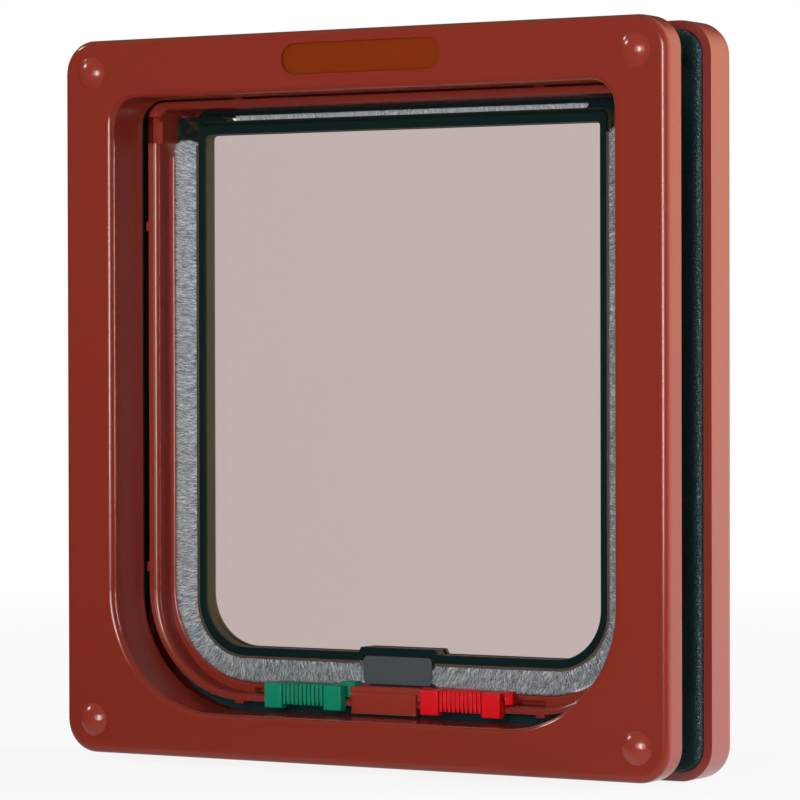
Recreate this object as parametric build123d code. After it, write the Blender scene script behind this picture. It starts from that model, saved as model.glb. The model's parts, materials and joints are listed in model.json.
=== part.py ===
from build123d import *
import os

# Lockable cat flap for a door, in millimetres.
# X runs to the right seen from indoors, Y from indoors to outdoors, Z up.
# The origin is the middle of the door cut-out, on the indoor face of the door.

# Frame outline, shared by the indoor and the outdoor frame
FRAME_WIDTH = 213.6
FRAME_HEIGHT = 224.0
FRAME_CORNER = 10.3

# Indoor frame
INSIDE_DEPTH = 9.0
FACE_ROUND = 2.2
FACE_WALL = 2.4
SKIRT_WALL = 2.4
SIDE_BORDER = 17.9
TOP_BORDER = 18.5
BOTTOM_BORDER = 14.0
OPENING_TOP_CORNER = 8.0
OPENING_BOTTOM_CORNER = 37.0
LIP_ROUND = 2.0
SLEEVE_WALL = 1.8
SLEEVE_REACH = 8.2
BADGE_LENGTH = 56.3
BADGE_HEIGHT = 9.6
BADGE_DEPTH = 0.8
BADGE_BELOW_TOP = 8.6
BADGE_OFFSET = 2.6
RIB_WALL = 1.4
RIB_PITCH = 26.0
RIB_SETBACK = 1.5

# Screw fixings at the four corners
FIXING_INSET_SIDE = 10.4
FIXING_INSET_END = 10.4
CAP_DIAMETER = 10.2
CAP_HEIGHT = 2.3
CAP_STEM_DEPTH = 2.0
CAP_STEM_WALL = 0.9
CAP_POCKET_DIAMETER = 8.8
CAP_POCKET_DEPTH = 5.0
CAP_BOSS_WALL = 1.2
SCREW_DIAMETER = 3.6
SCREW_HEAD_DIAMETER = 7.2
SCREW_HEAD_HEIGHT = 2.4
SCREW_SLOT_WIDTH = 1.0
SCREW_SLOT_DEPTH = 1.0
SCREW_GRIP = 8.5
SCREW_TIP = 2.0
POST_DIAMETER = 7.2
FIT_CLEARANCE = 0.1

# Door gap and outdoor frame
DOOR_GAP = 17.0
FOAM_PROUD = 2.4
FOAM_THICKNESS = 6.0
FOAM_WIDTH = 9.8
FOAM_CLEARANCE = 0.15
FOAM_ROUND = 1.2
OUTSIDE_DEPTH = 15.1
OUTSIDE_ROUND = 4.0
OUTSIDE_WALL = 2.4
OUTSIDE_DROP = 1.8
RIM_WIDTH = 2.7
FOAM_FENCE = 1.6
POST_SETBACK = 1.0

# Flap tunnel, moulded with the outdoor frame
TUNNEL_DEPTH = 24.9
TUNNEL_GAP_SIDE = 1.15
TUNNEL_GAP_TOP = 0.4
TUNNEL_GAP_BOTTOM = 2.8
TUNNEL_WALL_SIDE = 3.65
TUNNEL_WALL_TOP = 2.5
TUNNEL_WALL_BOTTOM = 2.2
TUNNEL_BOTTOM_CORNER = 34.5
TUNNEL_TOP_CORNER = 6.0
TUNNEL_EDGE_ROUND = 0.4
CHANNEL_EDGE_ROUND = 1.7
LAND_EDGE_ROUND = 1.0
CHANNEL_DEPTH = 7.0
LAND_STEP_SIDE = 1.9
LAND_STEP_BOTTOM = 3.1
LAND_WALL = 2.4
LAND_TOP_BELOW_PIVOT = 8.4
BACK_EDGE_ROUND = 1.5
NUB_OFFSET = 54.0
NUB_INSET = 33.75
NUB_LENGTH = 3.0
NUB_HEIGHT = 0.9
NUB_TOP_HEIGHT = 0.35
NUB_DEPTH = 5.0

# Flap, brush seal and pivot
FLAP_RECESS = 5.2
FLAP_THICKNESS = 2.2
FLAP_RIM_DEPTH = 9.0
FLAP_RIM_SIDE = 2.1
FLAP_RIM_BACK_SIDE = 0.8
FLAP_RIM_TOP = 4.2
FLAP_RIM_BOTTOM = 2.6
FLAP_CORNER = 17.5
FLAP_TOP_CORNER = 3.0
FLAP_TOP_BEVEL = 1.6
FLAP_TOP_GAP = 3.6
BRUSH_CLEARANCE = 0.4
BRUSH_BOTTOM_CLEARANCE = 2.3
BRUSH_SIDE_LENGTH = 8.6
BRUSH_BOTTOM_LENGTH = 5.95
BRUSH_DEPTH = 6.8
BRUSH_BACKING = 1.4
BRUSH_BACKING_DEPTH = 7.6
BRUSH_TOP_END_GAP = 1.4
BRUSH_TOP_DEPTH = 2.4
BRUSH_TOP_CLEARANCE = 1.6
BRUSH_TOP_INSET = 0.2

# Draught strip above the flap
DRAUGHT_SETBACK = 6.2
DRAUGHT_DEPTH = 3.0
DRAUGHT_DROP = 2.0
DRAUGHT_ROUND = 0.6
BRUSH_END_GAP = 1.6
PIVOT_BELOW_RIM = 2.6
PIN_DIAMETER = 4.0
PIN_CLEARANCE = 0.05
PIN_LENGTH = 3.9
PIVOT_SETBACK = 5.8
EAR_LENGTH = 19.1
EAR_RISE = 4.3
EAR_DROP = 3.6
EAR_DEPTH = 5.0
EAR_ROUND = 2.6
ARM_CLEARANCE = 0.4
BUSH_HEIGHT = 8.5
BUSH_SETBACK = 3.0
PIVOT_POCKET_DEPTH = 12.0
PIVOT_CHEEK = 10.0

# Magnet in the flap and the pad that carries it
MAGNET_WIDTH = 24.4
MAGNET_DEPTH = 9.0
MAGNET_DROP = 7.05
MAGNET_HEIGHT = 8.6
MAGNET_CHAMFER = 0.8
MAGNET_CLEARANCE = 0.15
MAGNET_SWING_GAP = 0.35
MAGNET_SIDE_GAP = 0.5
PAD_RISE = 1.6
PAD_MARGIN = 1.0
PAD_SLOPE = 2.0

# Magnet housing at the middle of the sill
COVER_WIDTH = 25.8
COVER_PLATE_WIDTH = 23.0
COVER_PLATE_TOP = 2.1
COVER_PLATE_HEIGHT = 6.4
COVER_PLATE_PROUD = 1.6
COVER_WALL = 1.2
COVER_LENGTH = 15.0
COVER_WAIST = 18.6
COVER_CLEARANCE = 0.3
BAR_LENGTH = 20.0
BAR_DEPTH = 6.4
BAR_HEIGHT = 5.2
BAR_WELL_WALL = 1.5

# Lock slides
SLIDE_LENGTH = 27.9
SLIDE_START = 14.2
SLIDE_BLOCK = 6.3
SLIDE_FACE = 3.3
SLIDE_DROP = 3.6
SLIDE_BODY_HEIGHT = 3.8
SLIDE_CLEARANCE = 0.3
SLIDE_EDGE_ROUND = 0.5
SLIDE_OVERHANG = 1.6
GRIP_RIBS = 10
GRIP_RIB_WIDTH = 0.8
GRIP_RECESS = 1.2
GRIP_GAP = 0.5
GRIP_DROP = 2.5
FOOT_SLOT_HEIGHT = 1.5
FOOT_SLOT_DEPTH = 1.6
FOOT_CHAMBER_HEIGHT = 2.4
FOOT_CHAMBER_DEPTH = 2.0
FOOT_CLEARANCE = 0.2
TONGUE_LENGTH = 1.9
TONGUE_THICKNESS = 1.8
STRIKE_BAR_DEPTH = 5.1
TONGUE_HEIGHT = 3.7
TONGUE_BEVEL = 1.2
STRIKE_UNDER_BRUSH = 0.35
STRIKE_DEPTH = 3.0
STRIKE_CLEARANCE = 0.6
ARM_WIDTH = 4.1
ARM_OFFSET = 2.3
ARM_HEIGHT = 3.3
LOCK_TRAVEL_IN = 2.5
LOCK_TRAVEL_OUT = 8.0
LOCK_BED_HALF = 58.0
LOCK_BED_WALL = 1.8

# Places along Y, from indoors to outdoors
FACE_Y = -INSIDE_DEPTH
RIM_Y = DOOR_GAP + FOAM_PROUD
BACK_Y = RIM_Y + OUTSIDE_DEPTH
FOAM_SEAT_Y = DOOR_GAP + FOAM_THICKNESS
TUNNEL_Y = BACK_Y - TUNNEL_DEPTH
LAND_Y = TUNNEL_Y + CHANNEL_DEPTH
RIM_BACK_Y = LAND_Y + FLAP_RIM_DEPTH
RIM_MIDDLE_Y = LAND_Y + FLAP_RIM_DEPTH / 2
PIVOT_Y = LAND_Y + PIVOT_SETBACK

# Half widths and heights of the nested outlines
OPENING_HALF = FRAME_WIDTH / 2 - SIDE_BORDER
OPENING_TOP = FRAME_HEIGHT / 2 - TOP_BORDER
OPENING_BOTTOM = BOTTOM_BORDER - FRAME_HEIGHT / 2
TUNNEL_HALF = OPENING_HALF - TUNNEL_GAP_SIDE
TUNNEL_TOP = OPENING_TOP - TUNNEL_GAP_TOP
TUNNEL_BOTTOM = OPENING_BOTTOM + TUNNEL_GAP_BOTTOM
CHANNEL_HALF = TUNNEL_HALF - TUNNEL_WALL_SIDE
CHANNEL_TOP = TUNNEL_TOP - TUNNEL_WALL_TOP
CHANNEL_BOTTOM = TUNNEL_BOTTOM + TUNNEL_WALL_BOTTOM
LAND_HALF = CHANNEL_HALF - LAND_STEP_SIDE
LAND_BOTTOM = CHANNEL_BOTTOM + LAND_STEP_BOTTOM
LAND_CORNER = TUNNEL_BOTTOM_CORNER - TUNNEL_WALL_SIDE - LAND_STEP_SIDE
BRUSH_HALF = LAND_HALF - BRUSH_CLEARANCE
BRUSH_BOTTOM = LAND_BOTTOM + BRUSH_BOTTOM_CLEARANCE
FLAP_HALF = BRUSH_HALF - BRUSH_SIDE_LENGTH
FLAP_TOP = CHANNEL_TOP - FLAP_TOP_GAP
FLAP_BOTTOM = BRUSH_BOTTOM + BRUSH_BOTTOM_LENGTH
BRUSH_CORNER = LAND_CORNER - BRUSH_CLEARANCE
OUTSIDE_BOTTOM = -FRAME_HEIGHT / 2 - OUTSIDE_DROP
PIVOT_Z = FLAP_TOP - PIVOT_BELOW_RIM
EAR_END = CHANNEL_HALF - ARM_CLEARANCE
EAR_START = EAR_END - EAR_LENGTH
MAGNET_BOTTOM = FLAP_BOTTOM - MAGNET_DROP
COVER_TOP = MAGNET_BOTTOM - MAGNET_SWING_GAP
SLIDE_TOP = CHANNEL_BOTTOM + FOOT_CLEARANCE + SLIDE_BODY_HEIGHT
STRIKE_TOP = BRUSH_BOTTOM - STRIKE_UNDER_BRUSH

# Small helpers
def plane_at(y):
    """Drawing plane that faces indoors at depth y, with its own y axis along Z."""
    return Plane(origin=(0, y, 0), x_dir=(1, 0, 0), z_dir=(0, -1, 0))


def slab(outline, front, back):
    """Solid of an XZ outline between two depths."""
    return extrude(plane_at(back) * outline, amount=back - front)


def block(x0, x1, y0, y1, z0, z1):
    """Box between two corners."""
    centre = ((x0 + x1) / 2, (y0 + y1) / 2, (z0 + z1) / 2)
    return Pos(*centre) * Box(abs(x1 - x0), abs(y1 - y0), abs(z1 - z0))


def prism(points, x0, x1):
    """Solid of a YZ profile between two places along X."""
    profile = make_face(Polyline(*points, close=True))
    plane = Plane(origin=(x0, 0, 0), x_dir=(0, 1, 0), z_dir=(1, 0, 0))
    return extrude(plane * profile, amount=x1 - x0)


def rod(x, z, diameter, front, back):
    """Round bar along Y."""
    return slab(Pos(x, z) * Circle(diameter / 2), front, back)


def arched(half, top, bottom, top_corner, bottom_corner):
    """Outline with one radius at its two upper corners and one at its lower corners."""
    outline = Pos(0, (top + bottom) / 2) * Rectangle(2 * half, top - bottom)
    outline = fillet(outline.vertices().group_by(Axis.Y)[-1], top_corner)
    return fillet(outline.vertices().group_by(Axis.Y)[0], bottom_corner)


def frame_outline(inset):
    """Frame outline, set in all round."""
    corner = max(FRAME_CORNER - inset, RIB_WALL)
    return RectangleRounded(FRAME_WIDTH - 2 * inset, FRAME_HEIGHT - 2 * inset, corner)


def outside_outline(inset):
    """Outline of the outdoor frame, which hangs lower, set in all round."""
    corner = max(FRAME_CORNER - inset, RIB_WALL)
    height = FRAME_HEIGHT + OUTSIDE_DROP - 2 * inset
    return Pos(0, -OUTSIDE_DROP / 2) * RectangleRounded(FRAME_WIDTH - 2 * inset, height, corner)


def opening_outline(grow):
    """Opening of the indoor frame, grown all round."""
    return arched(
        OPENING_HALF + grow,
        OPENING_TOP + grow,
        OPENING_BOTTOM - grow,
        OPENING_TOP_CORNER + grow,
        OPENING_BOTTOM_CORNER + grow,
    )


def tunnel_outline():
    """Outside of the tunnel's front ring."""
    return arched(TUNNEL_HALF, TUNNEL_TOP, TUNNEL_BOTTOM, TUNNEL_TOP_CORNER, TUNNEL_BOTTOM_CORNER)


def channel_outline():
    """Inside of the tunnel's front ring."""
    lower = TUNNEL_BOTTOM_CORNER - TUNNEL_WALL_SIDE
    upper = TUNNEL_TOP_CORNER - TUNNEL_WALL_TOP
    return arched(CHANNEL_HALF, CHANNEL_TOP, CHANNEL_BOTTOM, upper, lower)


def land_outline(grow):
    """Inside of the seal land, grown at its sides and bottom."""
    upper = TUNNEL_TOP_CORNER - TUNNEL_WALL_TOP
    top = CHANNEL_TOP + (TUNNEL_WALL_TOP if grow else 0.0)
    return arched(LAND_HALF + grow, top, LAND_BOTTOM - grow, upper + grow, LAND_CORNER + grow)


def flap_outline(grow):
    """Outside of the flap's rim, grown all round."""
    upper = FLAP_TOP_CORNER + grow
    return arched(FLAP_HALF + grow, FLAP_TOP + grow, FLAP_BOTTOM - grow, upper, FLAP_CORNER + grow)


def window_outline(rim_side):
    """Inside of the flap's rim, which is taller along the top, for a given width of its sides."""
    corner = FLAP_CORNER - rim_side
    top = FLAP_TOP - FLAP_RIM_TOP
    window = arched(FLAP_HALF - rim_side, top, FLAP_BOTTOM + FLAP_RIM_BOTTOM, RIB_WALL, corner)
    pad_half = MAGNET_WIDTH / 2 + PAD_MARGIN
    return window - magnet_pad(FLAP_BOTTOM + FLAP_RIM_BOTTOM + PAD_RISE, pad_half, PAD_SLOPE)


def fixing_places():
    """Centres of the four screws, seen from indoors."""
    x = FRAME_WIDTH / 2 - FIXING_INSET_SIDE
    z = FRAME_HEIGHT / 2 - FIXING_INSET_END
    return [(-x, z), (x, z), (-x, -z), (x, -z)]


def spread(half_reach, pitch):
    """Evenly spaced places either side of the middle."""
    count = int(half_reach // pitch)
    return [step * pitch for step in range(-count, count + 1)]


# Indoor frame: rounded face, skirt, sleeve, cap pockets, badge recess and stiffening ribs
def make_inside_frame():
    frame = slab(frame_outline(0), FACE_Y, 0)
    frame = fillet(frame.faces().sort_by(Axis.Y)[0].edges(), FACE_ROUND)
    hollow = slab(frame_outline(SKIRT_WALL), FACE_Y + FACE_WALL, 0)
    hollow -= slab(opening_outline(SLEEVE_WALL), FACE_Y, 0)
    for x, z in fixing_places():
        boss = CAP_POCKET_DIAMETER + 2 * CAP_BOSS_WALL
        hollow -= rod(x, z, boss, FACE_Y, 0)
    rib_front = FACE_Y + FACE_WALL
    rib_back = -RIB_SETBACK
    half_wall = RIB_WALL / 2
    for z in spread(FRAME_HEIGHT / 2 - BOTTOM_BORDER - OPENING_BOTTOM_CORNER, RIB_PITCH):
        for side in (-1, 1):
            inner, outer = side * OPENING_HALF, side * FRAME_WIDTH / 2
            hollow -= block(inner, outer, rib_front, rib_back, z - half_wall, z + half_wall)
    for x in spread(OPENING_HALF - OPENING_BOTTOM_CORNER, RIB_PITCH):
        for inner, outer in ((OPENING_TOP, FRAME_HEIGHT / 2), (OPENING_BOTTOM, -FRAME_HEIGHT / 2)):
            hollow -= block(x - half_wall, x + half_wall, rib_front, rib_back, inner, outer)
    frame -= hollow
    frame += slab(opening_outline(SLEEVE_WALL), FACE_Y + FACE_WALL, SLEEVE_REACH)
    frame -= slab(opening_outline(0), FACE_Y, SLEEVE_REACH)
    face = frame.faces().sort_by(Axis.Y)[0]
    frame = fillet(face.inner_wires().edges(), LIP_ROUND)
    badge = Pos(BADGE_OFFSET, FRAME_HEIGHT / 2 - BADGE_BELOW_TOP) * SlotOverall(BADGE_LENGTH, BADGE_HEIGHT)
    frame -= slab(badge, FACE_Y, FACE_Y + BADGE_DEPTH)
    for x, z in fixing_places():
        frame -= rod(x, z, CAP_POCKET_DIAMETER, FACE_Y, FACE_Y + CAP_POCKET_DEPTH)
        frame -= rod(x, z, SCREW_DIAMETER + 2 * FIT_CLEARANCE, FACE_Y, 0)
    return frame


# Outdoor frame: rounded shell, foam channel, screw posts and the stepped flap tunnel
def lock_pockets():
    """Room for the magnet housing, the slide feet and the rear arm of the right slide."""
    floor = CHANNEL_BOTTOM
    top = LAND_BOTTOM + LAND_STEP_BOTTOM
    half = COVER_WIDTH / 2 + COVER_CLEARANCE
    cover_back = TUNNEL_Y + COVER_LENGTH + COVER_CLEARANCE
    room = block(-half, half, LAND_Y, cover_back, floor, top)
    reach = lock_reach()
    entry_back = LAND_Y + FOOT_SLOT_DEPTH
    chamber_back = entry_back + FOOT_CHAMBER_DEPTH
    room += block(-reach, reach, LAND_Y, chamber_back, floor, floor + FOOT_SLOT_HEIGHT)
    room += block(-reach, reach, entry_back, chamber_back, floor, floor + FOOT_CHAMBER_HEIGHT)
    arm_start = SLIDE_START + ARM_OFFSET - LOCK_TRAVEL_IN - SLIDE_CLEARANCE
    arm_end = SLIDE_START + ARM_OFFSET + ARM_WIDTH + LOCK_TRAVEL_OUT + SLIDE_CLEARANCE
    strike_start = MAGNET_WIDTH / 2 + STRIKE_CLEARANCE - LOCK_TRAVEL_IN - SLIDE_CLEARANCE
    strike_front, strike_back = rear_strike_depths()
    room += block(arm_start, arm_end, LAND_Y, strike_back + SLIDE_CLEARANCE, floor, top)
    front = strike_front - SLIDE_CLEARANCE
    room += block(strike_start, arm_end, front, strike_back + SLIDE_CLEARANCE, floor, top)
    return room


def lock_reach():
    """Furthest place along X that a slide needs."""
    return SLIDE_START + SLIDE_LENGTH + TONGUE_LENGTH + LOCK_TRAVEL_OUT + SLIDE_CLEARANCE


def rear_strike_depths():
    """Front and back of the right slide's strike, behind the flap's magnet."""
    front = LAND_Y + MAGNET_DEPTH + SLIDE_CLEARANCE
    return front, front + STRIKE_DEPTH


def bar_place():
    """Corner depths and top of the bar magnet under the flap."""
    back = TUNNEL_Y + COVER_LENGTH - COVER_WALL - MAGNET_CLEARANCE
    top = COVER_TOP - COVER_WALL - MAGNET_CLEARANCE
    return back - BAR_DEPTH, back, top


def make_tunnel():
    """Stepped tube that carries the flap, its pivots and the locks."""
    tunnel = slab(tunnel_outline(), TUNNEL_Y, LAND_Y + LAND_WALL)
    tunnel = fillet(tunnel.faces().sort_by(Axis.Y)[0].edges(), TUNNEL_EDGE_ROUND)
    tunnel += slab(land_outline(LAND_WALL), LAND_Y, BACK_Y - OUTSIDE_WALL)
    cheek_bottom = PIVOT_Z - PIVOT_CHEEK
    cheek_back = LAND_Y + PIVOT_POCKET_DEPTH + LAND_WALL
    cheek = slab(tunnel_outline(), LAND_Y, cheek_back)
    tunnel += cheek & block(-TUNNEL_HALF, TUNNEL_HALF, LAND_Y, cheek_back, cheek_bottom, TUNNEL_TOP)
    bed_back = rear_strike_depths()[1] + SLIDE_CLEARANCE + LOCK_BED_WALL
    tunnel += block(-LOCK_BED_HALF, LOCK_BED_HALF, LAND_Y, bed_back, TUNNEL_BOTTOM, LAND_BOTTOM)
    bar_front, bar_back, bar_top = bar_place()
    well_half = BAR_LENGTH / 2 + MAGNET_CLEARANCE + BAR_WELL_WALL
    well_front = bar_front - MAGNET_CLEARANCE - BAR_WELL_WALL
    well_back = bar_back + MAGNET_CLEARANCE + BAR_WELL_WALL
    well_bottom = bar_top - BAR_HEIGHT - BAR_WELL_WALL
    tunnel += block(-well_half, well_half, well_front, well_back, well_bottom, TUNNEL_BOTTOM)
    for end in (-1, 1):
        low, high = end * NUB_OFFSET - NUB_LENGTH / 2, end * NUB_OFFSET + NUB_LENGTH / 2
        front = TUNNEL_Y + TUNNEL_EDGE_ROUND
        back = front + NUB_DEPTH
        for side in (-1, 1):
            wall = side * (TUNNEL_HALF - TUNNEL_WALL_SIDE / 2)
            tunnel += block(wall, side * (TUNNEL_HALF + NUB_HEIGHT), front, back, low, high)
        across = end * (TUNNEL_HALF - NUB_INSET)
        left, right = across - NUB_LENGTH / 2, across + NUB_LENGTH / 2
        roof = TUNNEL_TOP - TUNNEL_WALL_TOP / 2
        tunnel += block(left, right, front, back, roof, TUNNEL_TOP + NUB_TOP_HEIGHT)
        floor = TUNNEL_BOTTOM + TUNNEL_WALL_BOTTOM / 2
        tunnel += block(left, right, front, back, floor, TUNNEL_BOTTOM - NUB_HEIGHT)
    return tunnel


def pivot_slot(shrink, front):
    """Slot for a pivot bush, open towards the front, on both sides of the tunnel."""
    half = BUSH_HEIGHT / 2 - shrink
    cutter = Pos(0, PIVOT_Y, PIVOT_Z) * Rot(0, 90, 0) * Cylinder(half, 2 * TUNNEL_HALF)
    cutter += block(-TUNNEL_HALF, TUNNEL_HALF, front, PIVOT_Y, PIVOT_Z - half, PIVOT_Z + half)
    inner = CHANNEL_HALF + shrink
    return cutter - block(-inner, inner, front, PIVOT_Y + half, PIVOT_Z - half, PIVOT_Z + half)


def land_edges(frame, top):
    """Front edges of the seal land, from its top ends down the sides and along the sill."""
    half, low, high = LAND_HALF + FIT_CLEARANCE, LAND_BOTTOM - FIT_CLEARANCE, top + FIT_CLEARANCE
    found = []
    for edge in frame.edges().filter_by_position(Axis.Y, LAND_Y, LAND_Y):
        if all(abs(v.X) < half and low < v.Z < high for v in edge.vertices()):
            found.append(edge)
    return found


def make_outside_frame():
    frame = slab(outside_outline(0), RIM_Y, BACK_Y)
    frame = fillet(frame.faces().sort_by(Axis.Y)[-1].edges(), OUTSIDE_ROUND)
    hollow_back = BACK_Y - OUTSIDE_WALL
    hollow = slab(outside_outline(RIM_WIDTH), RIM_Y, hollow_back)
    fence_inset = RIM_WIDTH + FOAM_WIDTH
    fence = slab(outside_outline(fence_inset), RIM_Y, hollow_back)
    fence -= slab(outside_outline(fence_inset + FOAM_FENCE), RIM_Y, hollow_back)
    hollow -= fence
    half_wall = RIB_WALL / 2
    fence_side = FRAME_WIDTH / 2 - fence_inset
    fence_top = FRAME_HEIGHT / 2 - fence_inset
    for z in spread(fence_top, RIB_PITCH):
        for side in (-1, 1):
            ends = (side * fence_side, side * FRAME_WIDTH / 2)
            hollow -= block(*ends, FOAM_SEAT_Y, hollow_back, z - half_wall, z + half_wall)
    for x in spread(fence_side, RIB_PITCH):
        for ends in ((fence_top, FRAME_HEIGHT / 2), (OUTSIDE_BOTTOM, OUTSIDE_BOTTOM + fence_inset)):
            hollow -= block(x - half_wall, x + half_wall, FOAM_SEAT_Y, hollow_back, *ends)
    for x, z in fixing_places():
        hollow -= rod(x, z, POST_DIAMETER, RIM_Y + POST_SETBACK, hollow_back)
    frame -= hollow
    frame += make_tunnel()
    frame -= slab(channel_outline(), TUNNEL_Y, LAND_Y)
    frame = fillet(frame.faces().sort_by(Axis.Y)[0].inner_wires().edges(), CHANNEL_EDGE_ROUND)
    frame -= slab(land_outline(0), LAND_Y, BACK_Y)
    frame = fillet(frame.faces().sort_by(Axis.Y)[-1].inner_wires().edges(), BACK_EDGE_ROUND)
    pocket_bottom = PIVOT_Z - LAND_TOP_BELOW_PIVOT
    pocket_back = LAND_Y + PIVOT_POCKET_DEPTH
    pocket = slab(channel_outline(), LAND_Y, pocket_back)
    frame -= pocket & block(-CHANNEL_HALF, CHANNEL_HALF, LAND_Y, pocket_back, pocket_bottom, CHANNEL_TOP)
    frame = fillet(land_edges(frame, pocket_bottom), LAND_EDGE_ROUND)
    frame -= pivot_slot(0, TUNNEL_Y)
    frame -= lock_pockets()
    path_half = MAGNET_WIDTH / 2 + MAGNET_SIDE_GAP
    frame -= block(-path_half, path_half, LAND_Y, BACK_Y, COVER_TOP, FLAP_BOTTOM)
    bar_front, bar_back, bar_top = bar_place()
    half = BAR_LENGTH / 2 + MAGNET_CLEARANCE
    front, back = bar_front - MAGNET_CLEARANCE, bar_back + MAGNET_CLEARANCE
    frame -= block(-half, half, front, back, bar_top - BAR_HEIGHT, bar_top)
    for x, z in fixing_places():
        bore = SCREW_DIAMETER + FIT_CLEARANCE
        frame -= rod(x, z, bore, RIM_Y + POST_SETBACK, RIM_Y + POST_SETBACK + SCREW_GRIP + SCREW_TIP)
    return frame


# Foam gasket: die-cut ring with holes round the screw posts
def make_foam_gasket():
    ring = slab(outside_outline(RIM_WIDTH + FOAM_CLEARANCE), DOOR_GAP, FOAM_SEAT_Y)
    ring = fillet(ring.faces().sort_by(Axis.Y)[0].edges(), FOAM_ROUND)
    ring -= slab(outside_outline(RIM_WIDTH + FOAM_WIDTH - FOAM_CLEARANCE), DOOR_GAP, FOAM_SEAT_Y)
    for x, z in fixing_places():
        ring -= rod(x, z, POST_DIAMETER + 4 * FOAM_CLEARANCE, DOOR_GAP, FOAM_SEAT_Y)
    return ring


# Four screws and the caps over them
def make_fixing_screws():
    head_back = FACE_Y + CAP_POCKET_DEPTH
    head_front = head_back - SCREW_HEAD_HEIGHT
    tip = RIM_Y + POST_SETBACK + SCREW_GRIP
    screws = []
    for x, z in fixing_places():
        screw = rod(x, z, SCREW_HEAD_DIAMETER, head_front, head_back)
        screw += rod(x, z, SCREW_DIAMETER, head_back, tip)
        half = SCREW_HEAD_DIAMETER / 2
        for wide, tall in ((half, SCREW_SLOT_WIDTH / 2), (SCREW_SLOT_WIDTH / 2, half / 2)):
            slot_back = head_front + SCREW_SLOT_DEPTH
            screw -= block(x - wide, x + wide, head_front, slot_back, z - tall, z + tall)
        screws.append(screw)
    return screws


def make_screw_caps():
    radius = CAP_DIAMETER / 2
    sphere = (radius**2 + CAP_HEIGHT**2) / (2 * CAP_HEIGHT)
    stem = CAP_POCKET_DIAMETER - 2 * FIT_CLEARANCE
    caps = []
    for x, z in fixing_places():
        ball = Pos(x, FACE_Y - CAP_HEIGHT + sphere, z) * Rot(90, 0, 0) * Sphere(sphere)
        cap = ball & rod(x, z, CAP_DIAMETER + CAP_HEIGHT, FACE_Y - CAP_HEIGHT, FACE_Y)
        ring = rod(x, z, stem, FACE_Y, FACE_Y + CAP_STEM_DEPTH)
        cap += ring - rod(x, z, stem - 2 * CAP_STEM_WALL, FACE_Y, FACE_Y + CAP_STEM_DEPTH)
        caps.append(cap)
    return caps


# Bearing blocks that close the pivot slots behind the flap's pins
def make_hinge_bushes():
    bushes = pivot_slot(FIT_CLEARANCE / 2, TUNNEL_Y + BUSH_SETBACK)
    bore = PIN_DIAMETER / 2 + PIN_CLEARANCE
    bushes -= Pos(0, PIVOT_Y, PIVOT_Z) * Rot(0, 90, 0) * Cylinder(bore, 2 * TUNNEL_HALF)
    return bushes.solids()


# Magnet housing and the bar magnet inside it
def make_magnet_cover():
    half = COVER_WIDTH / 2
    floor = CHANNEL_BOTTOM
    top = COVER_TOP
    back = TUNNEL_Y + COVER_LENGTH
    cover = block(-half, half, TUNNEL_Y, back, floor, top)
    cover = chamfer(cover.faces().sort_by(Axis.Z)[-1].edges().sort_by(Axis.Y)[0], COVER_WALL / 2)
    inside = half - COVER_WALL
    cover -= block(-inside, inside, LAND_Y, back - COVER_WALL, floor, top - COVER_WALL)
    waist_front = TUNNEL_Y + COVER_WALL
    for side in (-1, 1):
        edges = (side * COVER_WAIST / 2, side * half)
        cover -= block(*edges, waist_front, LAND_Y, floor, top)
    plate_half = COVER_PLATE_WIDTH / 2
    plate_top = floor + COVER_PLATE_TOP
    plate_front = TUNNEL_Y - COVER_PLATE_PROUD
    plate = block(-plate_half, plate_half, plate_front, TUNNEL_Y, plate_top - COVER_PLATE_HEIGHT, plate_top)
    plate = chamfer(plate.faces().sort_by(Axis.Y)[0].edges(), SLIDE_EDGE_ROUND / 2)
    return cover + plate


def make_frame_magnet():
    front, back, top = bar_place()
    bar = block(-BAR_LENGTH / 2, BAR_LENGTH / 2, front, back, top - BAR_HEIGHT, top)
    return chamfer(bar.edges().filter_by(Axis.Y), MAGNET_CHAMFER)


# Flap: thin smoked panel in a deep rim, a stepped pad for the magnet, pivot arms and pins
def magnet_pad(top, half, slope):
    """Trapezium above the magnet, down to the rim's lower edge."""
    bottom = FLAP_BOTTOM
    corners = [(-half - slope, bottom), (-half, top), (half, top), (half + slope, bottom)]
    return make_face(Polyline(*corners, close=True))


def ear(side):
    """Arm from the rim's upper corner out to the pivot pin on one side."""
    top, bottom = PIVOT_Z + EAR_RISE, PIVOT_Z - EAR_DROP
    shoulder = FLAP_TOP - FLAP_RIM_TOP / 2
    elbow = FLAP_HALF - FLAP_RIM_SIDE / 2
    corners = [(EAR_START, shoulder), (EAR_START, top), (EAR_END, top)]
    corners += [(EAR_END, bottom), (elbow, bottom), (elbow, shoulder)]
    outline = make_face(Polyline(*[(side * x, z) for x, z in corners], close=True))
    rounded = [v for v in outline.vertices() if v.Y > FLAP_TOP or abs(v.X) > FLAP_HALF]
    outline = fillet(rounded, EAR_ROUND)
    return slab(outline, PIVOT_Y - EAR_DEPTH / 2, PIVOT_Y + EAR_DEPTH / 2)


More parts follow.
